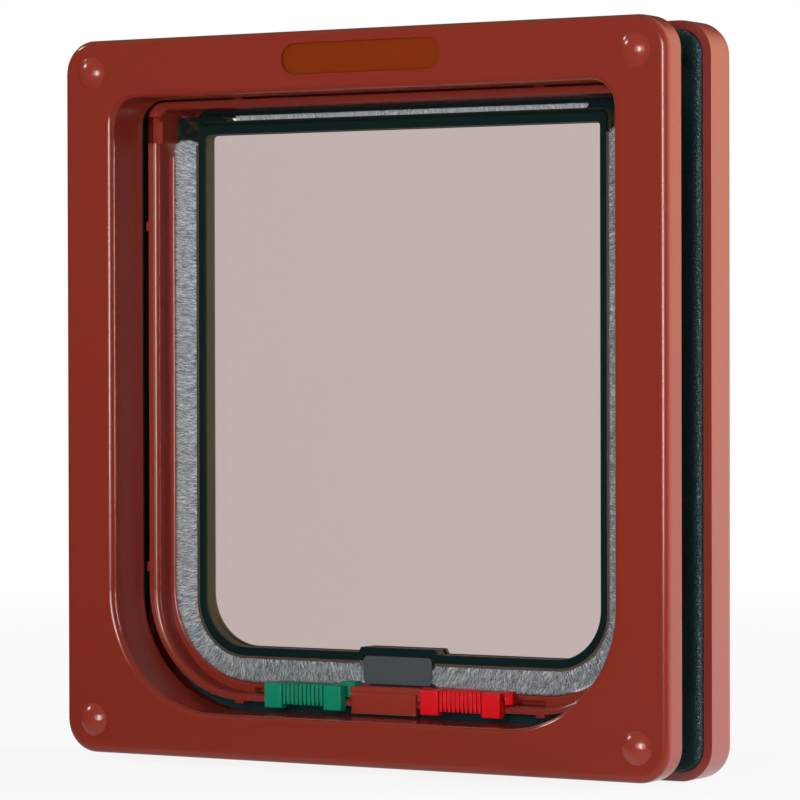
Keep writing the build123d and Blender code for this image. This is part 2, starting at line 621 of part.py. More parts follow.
def make_flap_panel():
    flap = slab(flap_outline(0), LAND_Y, RIM_BACK_Y)
    panel_front = LAND_Y + FLAP_RECESS
    flap -= slab(window_outline(FLAP_RIM_SIDE), LAND_Y, panel_front)
    flap -= slab(window_outline(FLAP_RIM_BACK_SIDE), panel_front + FLAP_THICKNESS, RIM_BACK_Y)
    bevel = [(LAND_Y, FLAP_TOP), (LAND_Y + FLAP_TOP_BEVEL, FLAP_TOP), (LAND_Y, FLAP_TOP - FLAP_TOP_BEVEL)]
    flap -= prism(bevel, -FLAP_HALF, FLAP_HALF)
    pin_end = EAR_END + PIN_LENGTH
    axle = Pos(0, PIVOT_Y, PIVOT_Z) * Rot(0, 90, 0) * Cylinder(PIN_DIAMETER / 2, 2 * pin_end)
    axle -= slab(flap_outline(0), LAND_Y, RIM_BACK_Y)
    flap += axle
    for side in (-1, 1):
        flap += ear(side)
    slot_half = MAGNET_WIDTH / 2 + MAGNET_CLEARANCE
    slot_top = magnet_top() + MAGNET_CLEARANCE
    flap -= block(-slot_half, slot_half, LAND_Y, RIM_BACK_Y, FLAP_BOTTOM, slot_top)
    return flap


def magnet_top():
    """Upper edge of the flap's magnet block."""
    return MAGNET_BOTTOM + MAGNET_HEIGHT


def make_flap_magnet():
    half = MAGNET_WIDTH / 2
    magnet = block(-half, half, LAND_Y, LAND_Y + MAGNET_DEPTH, MAGNET_BOTTOM, magnet_top())
    return chamfer(magnet.edges().filter_by(Axis.Y), MAGNET_CHAMFER)


# Brush seal: woven backing against the rim, pile standing out to the seal land
def brush_ring():
    """Backing and pile all round the flap's sides and bottom."""
    tip = LAND_BOTTOM + BRUSH_CLEARANCE
    pile = arched(BRUSH_HALF, FLAP_TOP, tip, FLAP_TOP_CORNER, BRUSH_CORNER)
    pile -= Pos(0, (tip + BRUSH_BOTTOM) / 2) * Rectangle(2 * lock_reach(), BRUSH_BOTTOM - tip)
    backing_half, pile_half = BRUSH_BACKING_DEPTH / 2, BRUSH_DEPTH / 2
    ring = slab(flap_outline(BRUSH_BACKING), RIM_MIDDLE_Y - backing_half, RIM_MIDDLE_Y + backing_half)
    ring += slab(pile, RIM_MIDDLE_Y - pile_half, RIM_MIDDLE_Y + pile_half)
    return ring - slab(flap_outline(FIT_CLEARANCE / 2), LAND_Y, RIM_BACK_Y)


def make_side_brush(side):
    top = PIVOT_Z - EAR_DROP - BRUSH_END_GAP
    inner = MAGNET_WIDTH / 2 + MAGNET_CLEARANCE
    keep = block(side * inner, side * LAND_HALF, LAND_Y, RIM_BACK_Y, LAND_BOTTOM, top)
    return brush_ring() & keep


def make_top_brush():
    half = EAR_START - BRUSH_TOP_END_GAP
    seat = FLAP_TOP + FIT_CLEARANCE / 2
    tip = CHANNEL_TOP - BRUSH_TOP_CLEARANCE
    back = RIM_BACK_Y - BRUSH_TOP_INSET
    return block(-half, half, back - BRUSH_TOP_DEPTH, back, seat, tip)


def make_draught_strip():
    """Strip under the tunnel's ceiling that hides the gap above the flap."""
    half = LAND_HALF - TUNNEL_TOP_CORNER
    front = PIVOT_Y + DRAUGHT_SETBACK
    top = CHANNEL_TOP - FIT_CLEARANCE / 2
    strip = block(-half, half, front, front + DRAUGHT_DEPTH, CHANNEL_TOP - DRAUGHT_DROP, top)
    return fillet(strip.faces().sort_by(Axis.Z)[0].edges().filter_by(Axis.X), DRAUGHT_ROUND)


# Lock slides: ribbed grip between two blocks, captive foot and a bevelled tongue
def slide_body(start, left_overhang, right_overhang):
    """What both slides share, from its left end; the grip blocks overhang the body."""
    end = start + SLIDE_LENGTH
    face_back = TUNNEL_Y - SLIDE_CLEARANCE
    face_front = face_back - SLIDE_FACE
    floor = CHANNEL_BOTTOM + FOOT_CLEARANCE
    top = SLIDE_TOP
    bottom = CHANNEL_BOTTOM - SLIDE_DROP
    body_back = LAND_Y - SLIDE_CLEARANCE
    foot_top = CHANNEL_BOTTOM + FOOT_SLOT_HEIGHT - FOOT_CLEARANCE
    heel_front = LAND_Y + FOOT_SLOT_DEPTH + FOOT_CLEARANCE
    heel_back = LAND_Y + FOOT_SLOT_DEPTH + FOOT_CHAMBER_DEPTH - FOOT_CLEARANCE
    heel_top = CHANNEL_BOTTOM + FOOT_CHAMBER_HEIGHT - FOOT_CLEARANCE
    section = [
        (face_front + GRIP_RECESS, bottom + GRIP_DROP),
        (face_front + GRIP_RECESS, top),
        (body_back, top),
        (body_back, foot_top),
        (heel_front, foot_top),
        (heel_front, heel_top),
        (heel_back, heel_top),
        (heel_back, floor),
        (face_back, floor),
        (face_back, bottom + GRIP_DROP),
    ]
    slide = prism(section, start + left_overhang, end - right_overhang)
    for left in (start, end - SLIDE_BLOCK):
        grip_block = block(left, left + SLIDE_BLOCK, face_front, face_back, bottom, top)
        grip_block = fillet(grip_block.faces().sort_by(Axis.Y)[0].edges(), SLIDE_EDGE_ROUND)
        slide += grip_block
    first = start + SLIDE_BLOCK + GRIP_GAP
    last = end - SLIDE_BLOCK - GRIP_GAP - GRIP_RIB_WIDTH
    pitch = (last - first) / (GRIP_RIBS - 1)
    for rib in range(GRIP_RIBS):
        left = first + rib * pitch
        rib_top = top + FOOT_CLEARANCE
        rib_bottom = bottom + GRIP_DROP / 2
        rib_front = face_front + GRIP_RECESS / 4
        slide += block(left, left + GRIP_RIB_WIDTH, rib_front, face_back, rib_bottom, rib_top)
    return slide


def tongue(start, length, depths, top):
    """Bevelled tongue on the right-hand end of a slide."""
    bottom = SLIDE_TOP - TONGUE_HEIGHT
    bar = block(start - SLIDE_BLOCK / 2, start + length, *depths, bottom, top)
    tip = bar.faces().sort_by(Axis.X)[-1].edges().filter_by(Axis.Z).sort_by(Axis.Y)[0]
    return chamfer(tip, TONGUE_BEVEL)


def make_green_lock():
    start = -SLIDE_START - SLIDE_LENGTH
    reach = SLIDE_START - MAGNET_WIDTH / 2 - STRIKE_CLEARANCE
    strike_back = LAND_Y - SLIDE_CLEARANCE
    depths = (strike_back - STRIKE_BAR_DEPTH, strike_back)
    return slide_body(start, 0.0, SLIDE_OVERHANG) + tongue(-SLIDE_START, reach, depths, STRIKE_TOP)


def make_red_lock():
    slide = slide_body(SLIDE_START, SLIDE_OVERHANG, 0.0)
    depths = (TUNNEL_Y, TUNNEL_Y + TONGUE_THICKNESS)
    slide += tongue(SLIDE_START + SLIDE_LENGTH, TONGUE_LENGTH, depths, SLIDE_TOP)
    arm_left = SLIDE_START + ARM_OFFSET
    arm_right = arm_left + ARM_WIDTH
    floor = CHANNEL_BOTTOM + FOOT_CLEARANCE
    strike_front, strike_back = rear_strike_depths()
    arm_front = LAND_Y - SLIDE_CLEARANCE - SLIDE_FACE
    slide += block(arm_left, arm_right, arm_front, strike_back, floor, floor + ARM_HEIGHT)
    strike_left = MAGNET_WIDTH / 2 + STRIKE_CLEARANCE
    return slide + block(strike_left, arm_right, strike_front, strike_back, floor, STRIKE_TOP)


# One file for each piece
def write(name, pieces):
    solids = pieces if isinstance(pieces, list) else [pieces]
    shape = solids[0] if len(solids) == 1 else Compound(children=solids)
    shape.label = name
    export_step(shape, f"parts/{name}.step")


def main():
    os.makedirs("parts", exist_ok=True)
    write("inside_frame", make_inside_frame())
    write("outside_frame", make_outside_frame())
    write("foam_gasket", make_foam_gasket())
    write("fixing_screws", make_fixing_screws())
    write("screw_caps", make_screw_caps())
    write("hinge_bushes", make_hinge_bushes())
    write("magnet_cover", make_magnet_cover())
    write("frame_magnet", make_frame_magnet())
    write("flap_panel", make_flap_panel())
    write("flap_magnet", make_flap_magnet())
    write("brush_left", make_side_brush(-1))
    write("brush_right", make_side_brush(1))
    write("brush_top", make_top_brush())
    write("draught_strip", make_draught_strip())
    write("green_lock", make_green_lock())
    write("red_lock", make_red_lock())


main()
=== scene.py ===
"""Looks of a lockable cat flap: moulded frames, smoked flap, brush seal and lock slides, in metres."""

import json
import logging
import math
from dataclasses import dataclass, field
from enum import Enum

import bmesh
import bpy
from mathutils import Matrix, Vector

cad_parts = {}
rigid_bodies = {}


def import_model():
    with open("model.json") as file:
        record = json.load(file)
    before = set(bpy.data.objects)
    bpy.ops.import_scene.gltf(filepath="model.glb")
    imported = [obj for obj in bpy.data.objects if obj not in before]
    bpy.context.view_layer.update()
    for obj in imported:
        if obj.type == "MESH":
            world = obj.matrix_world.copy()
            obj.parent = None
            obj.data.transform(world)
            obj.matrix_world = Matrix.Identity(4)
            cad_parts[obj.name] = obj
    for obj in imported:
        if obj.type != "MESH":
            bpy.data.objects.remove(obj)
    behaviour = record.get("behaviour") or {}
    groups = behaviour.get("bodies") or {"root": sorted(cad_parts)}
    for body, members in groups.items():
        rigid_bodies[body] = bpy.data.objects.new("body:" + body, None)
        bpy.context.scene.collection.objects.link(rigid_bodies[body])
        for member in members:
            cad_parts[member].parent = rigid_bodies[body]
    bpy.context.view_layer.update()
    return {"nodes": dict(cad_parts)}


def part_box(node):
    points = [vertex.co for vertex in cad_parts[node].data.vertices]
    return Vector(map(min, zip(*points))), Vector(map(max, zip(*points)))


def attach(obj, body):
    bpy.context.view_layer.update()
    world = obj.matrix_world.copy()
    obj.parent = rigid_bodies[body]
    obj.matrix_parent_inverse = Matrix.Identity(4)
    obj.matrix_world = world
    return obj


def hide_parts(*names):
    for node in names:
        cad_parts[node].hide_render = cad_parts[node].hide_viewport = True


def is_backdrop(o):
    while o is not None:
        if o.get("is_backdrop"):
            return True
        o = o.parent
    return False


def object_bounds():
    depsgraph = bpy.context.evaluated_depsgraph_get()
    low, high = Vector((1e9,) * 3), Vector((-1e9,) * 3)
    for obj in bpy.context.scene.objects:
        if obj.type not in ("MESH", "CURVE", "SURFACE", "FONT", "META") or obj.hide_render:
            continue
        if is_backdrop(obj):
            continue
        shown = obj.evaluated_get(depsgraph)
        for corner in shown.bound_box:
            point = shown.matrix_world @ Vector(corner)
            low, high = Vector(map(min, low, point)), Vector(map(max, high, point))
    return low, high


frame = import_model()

MM = 0.001
# Typical for polypropylene and for acrylic
PLASTIC_IOR = 1.49
WHITE = "ffffff"
# Colours of the frames' plastic and of its flow clouds
RED_BROWN = ("802a1f", "7b2b20")
# Sockets of the Mix node for colours and for plain numbers
COLOUR_A, COLOUR_B, COLOUR_OUT = 6, 7, 2
NUMBER_A, NUMBER_B = 2, 3
# Sockets of the Random Value node for vectors and for plain numbers
VECTOR_MIN, VECTOR_MAX = 0, 1
NUMBER_MIN, NUMBER_MAX = 2, 3
# Root point, outward direction and bristle direction in XZ, and reach, along a strip of pile
RootPath = list[tuple[Vector, Vector, Vector, float]]
LOG = logging.getLogger("cat_flap")


class Body(Enum):
    """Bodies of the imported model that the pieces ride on."""

    FRAME = "frame"
    FLAP = "flap"
    GREEN_SLIDE = "green_slide"
    RED_SLIDE = "red_slide"


class Side(Enum):
    """Left or right of the flap, seen from indoors."""

    LEFT = -1
    RIGHT = 1


def linear(code: str) -> tuple[float, float, float, float]:
    """Turns an sRGB hex colour to linear light.

    Args:
        code: Six hex digits.

    Returns:
        Red, green, blue and an alpha of one.
    """
    channels = []
    for start in (0, 2, 4):
        value = int(code[start:start + 2], 16) / 255
        low = value / 12.92
        high = ((value + 0.055) / 1.055) ** 2.4
        channels.append(low if value <= 0.04045 else high)
    return (*channels, 1.0)


def add_node(
    tree: bpy.types.NodeTree,
    kind: str,
    settings: dict[str | int, object] | None = None,
    links: dict[str | int, bpy.types.NodeSocket] | None = None,
) -> bpy.types.Node:
    """Adds a node, sets its options and input values, and links its inputs.

    Args:
        tree: Tree that gets the node.
        kind: Blender's type name of the node.
        settings: Node options by name, or input values by the name or index of the input.
        links: Output sockets by the name or index of the input that they feed.

    Returns:
        The new node.
    """
    node = tree.nodes.new(kind)
    for name, value in (settings or {}).items():
        if isinstance(name, str) and hasattr(node, name):
            setattr(node, name, value)
        else:
            node.inputs[name].default_value = value
    for name, socket in (links or {}).items():
        tree.links.new(socket, node.inputs[name])
    return node


def span(end: str, limits: tuple[float, float]) -> dict[str, float]:
    """Settings for both limits of one end of a range, such as From Min and From Max."""
    return {f"{end} Min": limits[0], f"{end} Max": limits[1]}


def empty_tree(owner: bpy.types.Material | bpy.types.World) -> bpy.types.NodeTree:
    """Switches the nodes of a material or surround on and clears them.

    Args:
        owner: The material or surround.

    Returns:
        Its empty node tree.
    """
    owner.use_nodes = True
    owner.node_tree.nodes.clear()
    return owner.node_tree


def new_material(name: str) -> tuple[bpy.types.Material, bpy.types.NodeTree]:
    """Makes a material without nodes.

    Args:
        name: Name of the material.

    Returns:
        The material and its empty node tree.
    """
    material = bpy.data.materials.new(name)
    return material, empty_tree(material)


def per_metre(size_mm: float) -> float:
    """Texture scale whose features are about this many millimetres wide."""
    return 1.0 / (size_mm * MM)


@dataclass(frozen=True)
class MouldedPolypropylene:
    """Injection-moulded polypropylene, pigmented through and lightly spark-textured.

    Gives the eye an even, saturated colour with a soft sheen, faint flow clouds and crisp edge lights.
    """

    name: str
    colour: str
    cloud_colour: str
    roughness: float = 0.14
    specular: float = 0.5
    sheen_tint: str = "fff4ec"
    cloud_mm: float = 45.0
    # The real mould grain is near 0.1 mm: drawn coarser here so that it shows.
    grain_mm: float = 0.6
    grain_depth: float = 0.01
    grain_strength: float = 0.15
    smoother: float = 0.04
    rougher: float = 0.05

    def build(self) -> bpy.types.Material:
        """Builds the node material."""
        material, tree = new_material(self.name)
        place = add_node(tree, "ShaderNodeTexCoord")
        clouds = add_node(
            tree,
            "ShaderNodeTexNoise",
            {"Scale": per_metre(self.cloud_mm), "Detail": 3.0, "Roughness": 0.6},
            {"Vector": place.outputs["Object"]},
        )
        mix = add_node(
            tree,
            "ShaderNodeMix",
            {"data_type": "RGBA", COLOUR_A: linear(self.colour), COLOUR_B: linear(self.cloud_colour)},
            {"Factor": clouds.outputs["Fac"]},
        )
        grain = add_node(
            tree,
            "ShaderNodeTexNoise",
            {"Scale": per_metre(self.grain_mm), "Detail": 2.0},
            {"Vector": place.outputs["Object"]},
        )
        spread = add_node(
            tree,
            "ShaderNodeMapRange",
            span("To", (self.roughness - self.smoother, self.roughness + self.rougher)),
            {"Value": grain.outputs["Fac"]},
        )
        bump = add_node(
            tree,
            "ShaderNodeBump",
            {"Strength": self.grain_strength, "Distance": self.grain_depth * MM},
            {"Height": grain.outputs["Fac"]},
        )
        shader = add_node(
            tree,
            "ShaderNodeBsdfPrincipled",
            {
                "IOR": PLASTIC_IOR,
                "Specular IOR Level": self.specular,
                "Specular Tint": linear(self.sheen_tint),
            },
            {
                "Base Color": mix.outputs[COLOUR_OUT],
                "Roughness": spread.outputs["Result"],
                "Normal": bump.outputs["Normal"],
            },
        )
        add_node(tree, "ShaderNodeOutputMaterial", links={"Surface": shader.outputs["BSDF"]})
        return material


@dataclass(frozen=True)
class SmokedAcrylic:
    """Cast acrylic, smoked brown through its thickness, with polished faces.

    Gives the eye a clear grey-brown pane whose thick edges turn nearly black.
    """

    name: str = "smoked_acrylic_polished"
    colour: str = WHITE
    smoke: str = "913819"
    density: float = 340.0
    mark_mm: float = 12.0
    polish: tuple[float, float] = (0.02, 0.04)

    def build(self) -> bpy.types.Material:
        """Builds the node material."""
        material, tree = new_material(self.name)
        place = add_node(tree, "ShaderNodeTexCoord")
        marks = add_node(
            tree,
            "ShaderNodeTexNoise",
            {"Scale": per_metre(self.mark_mm), "Detail": 3.0},
            {"Vector": place.outputs["Object"]},
        )
        polish = add_node(
            tree, "ShaderNodeMapRange", span("To", self.polish), {"Value": marks.outputs["Fac"]}
        )
        shader = add_node(
            tree,
            "ShaderNodeBsdfPrincipled",
            {"Base Color": linear(self.colour), "IOR": PLASTIC_IOR, "Transmission Weight": 1.0},
            {"Roughness": polish.outputs["Result"]},
        )
        absorption = add_node(
            tree, "ShaderNodeVolumeAbsorption", {"Color": linear(self.smoke), "Density": self.density}
        )
        add_node(
            tree,
            "ShaderNodeOutputMaterial",
            links={"Surface": shader.outputs["BSDF"], "Volume": absorption.outputs["Volume"]},
        )
        return material


@dataclass(frozen=True)
class SmokedRim:
    """The same smoked acrylic where it is moulded thick, as in the rim and the pivot arms.

    Gives the eye a glossy black-green edge that turns olive on walls deep in the flap: a painted glow of
    light passing through them.
    """

    name: str = "smoked_acrylic_thick_moulded"
    face: str = "10201f"
    # Olive of the painted glow on the deep upright walls
    painted_glow: str = "5c5541"
    arm: str = "111a1a"
    arm_streak: str = "42301f"
    arm_start_mm: float = 73.4
    glow_start_mm: float = 17.4
    glow_full_mm: float = 18.4
    streak_mm: float = 5.0
    streak_levels: tuple[float, float] = (0.45, 0.7)
    polish: tuple[float, float] = (0.12, 0.5)
    specular: float = 0.06

    def build(self) -> bpy.types.Material:
        """Builds the node material."""
        material, tree = new_material(self.name)
        place = add_node(tree, "ShaderNodeTexCoord")
        facing = add_node(tree, "ShaderNodeSeparateXYZ", links={0: place.outputs["Normal"]})
        spot = add_node(tree, "ShaderNodeSeparateXYZ", links={0: place.outputs["Object"]})
        flat = add_node(tree, "ShaderNodeMath", {"operation": "ABSOLUTE"}, {0: facing.outputs["Y"]})
        upright = add_node(tree, "ShaderNodeMath", {"operation": "SUBTRACT", 0: 1.0}, {1: flat.outputs[0]})
        # Painted glow: upright walls deep in the flap get the olive of light passing through them.
        deep = add_node(
            tree,
            "ShaderNodeMapRange",
            span("From", (self.glow_start_mm * MM, self.glow_full_mm * MM)),
            {"Value": spot.outputs["Y"]},
        )
        clear = add_node(
            tree,
            "ShaderNodeMath",
            {"operation": "MULTIPLY"},
            {0: upright.outputs[0], 1: deep.outputs["Result"]},
        )
        glow_walls = add_node(
            tree,
            "ShaderNodeMix",
            {"data_type": "RGBA", COLOUR_A: linear(self.face), COLOUR_B: linear(self.painted_glow)},
            {"Factor": clear.outputs[0]},
        )
        haze = add_node(
            tree,
            "ShaderNodeTexNoise",
            {"Scale": per_metre(self.streak_mm), "Detail": 2.0, "Distortion": 1.5},
            {"Vector": place.outputs["Object"]},
        )
        streaks = add_node(
            tree, "ShaderNodeMapRange", span("From", self.streak_levels), {"Value": haze.outputs["Fac"]}
        )
        arms = add_node(
            tree,
            "ShaderNodeMix",
            {"data_type": "RGBA", COLOUR_A: linear(self.arm), COLOUR_B: linear(self.arm_streak)},
            {"Factor": streaks.outputs["Result"]},
        )
        across = add_node(tree, "ShaderNodeMath", {"operation": "ABSOLUTE"}, {0: spot.outputs["X"]})
        outside = add_node(
            tree,
            "ShaderNodeMath",
            {"operation": "GREATER_THAN", 1: self.arm_start_mm * MM},
            {0: across.outputs[0]},
        )
        whole = add_node(
            tree,
            "ShaderNodeMix",
            {"data_type": "RGBA"},
            {
                "Factor": outside.outputs[0],
                COLOUR_A: glow_walls.outputs[COLOUR_OUT],
                COLOUR_B: arms.outputs[COLOUR_OUT],
            },
        )
        polish = add_node(
            tree, "ShaderNodeMapRange", span("To", self.polish), {"Value": upright.outputs[0]}
        )
        shader = add_node(
            tree,
            "ShaderNodeBsdfPrincipled",
            {"IOR": PLASTIC_IOR, "Specular IOR Level": self.specular},
            {"Base Color": whole.outputs[COLOUR_OUT], "Roughness": polish.outputs["Result"]},
        )
        add_node(tree, "ShaderNodeOutputMaterial", links={"Surface": shader.outputs["BSDF"]})
        return material


@dataclass(frozen=True)
class ClosedCellFoam:
    """Black closed-cell polyethylene foam, knife cut.

    Gives the eye a matt black-green with pale specks along its outer edge: cell texture, made pale there as a
    painted highlight of the lit edge.
    """

    name: str = "black_closed_cell_foam_cut"
    colour: str = "0c2427"
    fleck: str = "6d7a7d"
    sheen_tint: str = "c4f4ff"
    gasket: str = "foam_gasket"
    # Width of the band along the outer edge where the specks are painted in as a highlight
    edge_mm: float = 2.4
    # Real cells are near 0.2 mm: drawn coarser so that they show.
    cell_mm: float = 0.42
    cell_depth: float = 0.3
    fleck_levels: tuple[float, float] = (0.5, 0.9)
    roughness: float = 0.5
    specular: float = 0.2

    def build(self) -> bpy.types.Material:
        """Builds the node material."""
        material, tree = new_material(self.name)
        place = add_node(tree, "ShaderNodeTexCoord")
        cells = add_node(
            tree,
            "ShaderNodeTexVoronoi",
            {"Scale": per_metre(self.cell_mm)},
            {"Vector": place.outputs["Object"]},
        )
        flecks = add_node(
            tree, "ShaderNodeMapRange", span("From", self.fleck_levels), {"Value": cells.outputs["Distance"]}
        )
        # Painted highlight: the pale cell specks show only near the gasket's lit outer edge.
        edge_glint = add_node(
            tree,
            "ShaderNodeMath",
            {"operation": "MULTIPLY"},
            {0: flecks.outputs["Result"], 1: self.near_edge(tree, place.outputs["Object"])},
        )
        mix = add_node(
            tree,
            "ShaderNodeMix",
            {"data_type": "RGBA", COLOUR_A: linear(self.colour), COLOUR_B: linear(self.fleck)},
            {"Factor": edge_glint.outputs[0]},
        )
        bump = add_node(
            tree,
            "ShaderNodeBump",
            {"Strength": 1.0, "Distance": self.cell_depth * MM},
            {"Height": cells.outputs["Distance"]},
        )
        shader = add_node(
            tree,
            "ShaderNodeBsdfPrincipled",
            {
                "Roughness": self.roughness,
                "Specular IOR Level": self.specular,
                "Specular Tint": linear(self.sheen_tint),
            },
            {"Base Color": mix.outputs[COLOUR_OUT], "Normal": bump.outputs["Normal"]},
        )
        add_node(tree, "ShaderNodeOutputMaterial", links={"Surface": shader.outputs["BSDF"]})
        return material

    def near_edge(self, tree: bpy.types.NodeTree, spot: bpy.types.NodeSocket) -> bpy.types.NodeSocket:
        """Adds the nodes that rise from 0 to 1 towards the gasket's outer edge, where the specks are painted
        in as a highlight.

        Args:
            tree: Tree of the material.
            spot: Socket with the place on the piece.

        Returns:
            The socket with the rise.
        """
        low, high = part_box(self.gasket)
        middle = (low + high) / 2
        centred = add_node(
            tree, "ShaderNodeVectorMath", {"operation": "SUBTRACT", 1: tuple(middle)}, {0: spot}
        )
        apart = add_node(tree, "ShaderNodeVectorMath", {"operation": "ABSOLUTE"}, {0: centred.outputs[0]})
        split = add_node(tree, "ShaderNodeSeparateXYZ", links={0: apart.outputs[0]})
        rises = []
        for axis, edge in (("X", high.x - middle.x), ("Z", high.z - middle.z)):
            rise = add_node(
                tree,
                "ShaderNodeMapRange",
                span("From", (edge - self.edge_mm * MM, edge)),
                {"Value": split.outputs[axis]},
            )
            rises.append(rise.outputs["Result"])
        larger = add_node(tree, "ShaderNodeMath", {"operation": "MAXIMUM"}, {0: rises[0], 1: rises[1]})
        return larger.outputs[0]


@dataclass(frozen=True)
class CutPile:
    """Cut polypropylene pile, spun grey with darker and paler filaments.

    Gives the eye a salt-and-pepper nap of single filaments with a dull sheen.
    """

    name: str = "grey_polypropylene_cut_pile"
    dark: str = "454d53"
    middle: str = "8b939a"
    pale: str = "f2f6f8"
    middle_share: float = 0.55
    roughness: float = 0.55
    sheen: float = 0.15

    def build(self) -> bpy.types.Material:
        """Builds the node material."""
        material, tree = new_material(self.name)
        shade = add_node(tree, "ShaderNodeAttribute", {"attribute_name": "shade"})
        ramp = add_node(tree, "ShaderNodeValToRGB", links={"Fac": shade.outputs["Fac"]})
        stops = ramp.color_ramp.elements
        stops[0].color = linear(self.dark)
        stops[1].color = linear(self.pale)
        stops.new(self.middle_share).color = linear(self.middle)
        shader = add_node(
            tree,
            "ShaderNodeBsdfPrincipled",
            {"Roughness": self.roughness, "Sheen Weight": self.sheen},
            {"Base Color": ramp.outputs["Color"]},
        )
        add_node(tree, "ShaderNodeOutputMaterial", links={"Surface": shader.outputs["BSDF"]})
        return material


@dataclass(frozen=True)
class WovenTape:
    """Woven polypropylene backing tape, heat set.

    Gives the eye a narrow tan band with the pale knuckles of its weave, dark brown on its front and back
    faces.
    """

    name: str = "tan_polypropylene_tape_woven"
    colour: str = "75695a"
    knuckle: str = "d5cfc4"
    facing_brown: str = "4a3527"
    thread_mm: float = 0.7
    thread_depth: float = 0.2
    thread_strength: float = 0.7
    roughness: float = 0.8

    def build(self) -> bpy.types.Material:
        """Builds the node material."""
        material, tree = new_material(self.name)
        place = add_node(tree, "ShaderNodeTexCoord")
        weave = add_node(
            tree,
            "ShaderNodeTexVoronoi",
            {"Scale": per_metre(self.thread_mm), "Randomness": 0.45},
            {"Vector": place.outputs["Object"]},
        )
        threads = add_node(
            tree,
            "ShaderNodeMix",
            {"data_type": "RGBA", COLOUR_A: linear(self.knuckle), COLOUR_B: linear(self.colour)},
            {"Factor": weave.outputs["Distance"]},
        )
        # Faces that face front and back are turned dark brown.
        facing = add_node(tree, "ShaderNodeSeparateXYZ", links={0: place.outputs["Normal"]})
        flat = add_node(tree, "ShaderNodeMath", {"operation": "ABSOLUTE"}, {0: facing.outputs["Y"]})
        whole = add_node(
            tree,
            "ShaderNodeMix",
            {"data_type": "RGBA", COLOUR_B: linear(self.facing_brown)},
            {"Factor": flat.outputs[0], COLOUR_A: threads.outputs[COLOUR_OUT]},
        )
        bump = add_node(
            tree,
            "ShaderNodeBump",
            {"Strength": self.thread_strength, "Distance": self.thread_depth * MM, "invert": True},
            {"Height": weave.outputs["Distance"]},
        )
        shader = add_node(
            tree,
            "ShaderNodeBsdfPrincipled",
            {"Roughness": self.roughness},
            {"Base Color": whole.outputs[COLOUR_OUT], "Normal": bump.outputs["Normal"]},
        )
        add_node(tree, "ShaderNodeOutputMaterial", links={"Surface": shader.outputs["BSDF"]})
        return material


@dataclass(frozen=True)
class PlatedSteel:
    """Zinc-plated steel, turned and tumbled.

    Gives the eye a dull bright metal with fine turning rings.
    """

    name: str = "zinc_plated_steel_turned"
    colour: str = "b9bcc0"
    ring_mm: float = 6.0
    polish: tuple[float, float] = (0.28, 0.42)

    def build(self) -> bpy.types.Material:
        """Builds the node material."""
        material, tree = new_material(self.name)
        place = add_node(tree, "ShaderNodeTexCoord")
        rings = add_node(
            tree,
            "ShaderNodeTexWave",
            {"Scale": per_metre(self.ring_mm), "Distortion": 2.0, "bands_direction": "Y"},
            {"Vector": place.outputs["Object"]},
        )
        polish = add_node(
            tree, "ShaderNodeMapRange", span("To", self.polish), {"Value": rings.outputs["Fac"]}
        )
        shader = add_node(
            tree,
            "ShaderNodeBsdfPrincipled",
            {"Base Color": linear(self.colour), "Metallic": 1.0},
            {"Roughness": polish.outputs["Result"]},
        )
        add_node(tree, "ShaderNodeOutputMaterial", links={"Surface": shader.outputs["BSDF"]})
        return material


@dataclass(frozen=True)
class MattCase:
    """Matt filled plastic or sintered ceramic with a fine gritty skin.

    Gives the eye a flat dark grey with a faint mottling.
    """

    name: str
    colour: str
    fleck: str
    grit_mm: float = 0.7
    grit_depth: float = 0.03
    grit_strength: float = 0.3
    roughness: float = 0.6

    def build(self) -> bpy.types.Material:
        """Builds the node material."""
        material, tree = new_material(self.name)
        place = add_node(tree, "ShaderNodeTexCoord")
        grit = add_node(
            tree,
            "ShaderNodeTexNoise",
            {"Scale": per_metre(self.grit_mm), "Detail": 4.0},
            {"Vector": place.outputs["Object"]},
        )
        mix = add_node(
            tree,
            "ShaderNodeMix",
            {"data_type": "RGBA", COLOUR_A: linear(self.colour), COLOUR_B: linear(self.fleck)},
            {"Factor": grit.outputs["Fac"]},
        )
        bump = add_node(
            tree,
            "ShaderNodeBump",
            {"Strength": self.grit_strength, "Distance": self.grit_depth * MM},
            {"Height": grit.outputs["Fac"]},
        )
        shader = add_node(
            tree,
            "ShaderNodeBsdfPrincipled",
            {"Roughness": self.roughness},
            {"Base Color": mix.outputs[COLOUR_OUT], "Normal": bump.outputs["Normal"]},
        )
        add_node(tree, "ShaderNodeOutputMaterial", links={"Surface": shader.outputs["BSDF"]})
        return material


def dress(node: str, material: bpy.types.Material) -> None:
    """Gives a CAD node its finish.

    Args:
        node: Name of the CAD node.
        material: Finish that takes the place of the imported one.
    """
    mesh = frame["nodes"][node].data
    mesh.materials.clear()
    mesh.materials.append(material)
    LOG.info("dressed %s with %s", node, material.name)


def new_object(name: str, data: bpy.types.ID) -> bpy.types.Object:
    """Links a new object with this data to the scene.

    Args:
        name: Name of the object.
        data: Mesh, lamp or camera that it shows.

    Returns:
        The new object.
    """
    thing = bpy.data.objects.new(name, data)
    bpy.context.scene.collection.objects.link(thing)
    return thing


def new_piece(name: str, mesh: bpy.types.Mesh, body: Body) -> bpy.types.Object:
    """Links a mesh as a piece that rides on a body.

    Args:
        name: Name of the piece.
        mesh: Its mesh, in place.
        body: Body that it moves with.

    Returns:
        The new object.
    """
    piece = new_object(name, mesh)
    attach(piece, body.value)
    LOG.info("made %s with %d faces", name, len(mesh.polygons))
    return piece


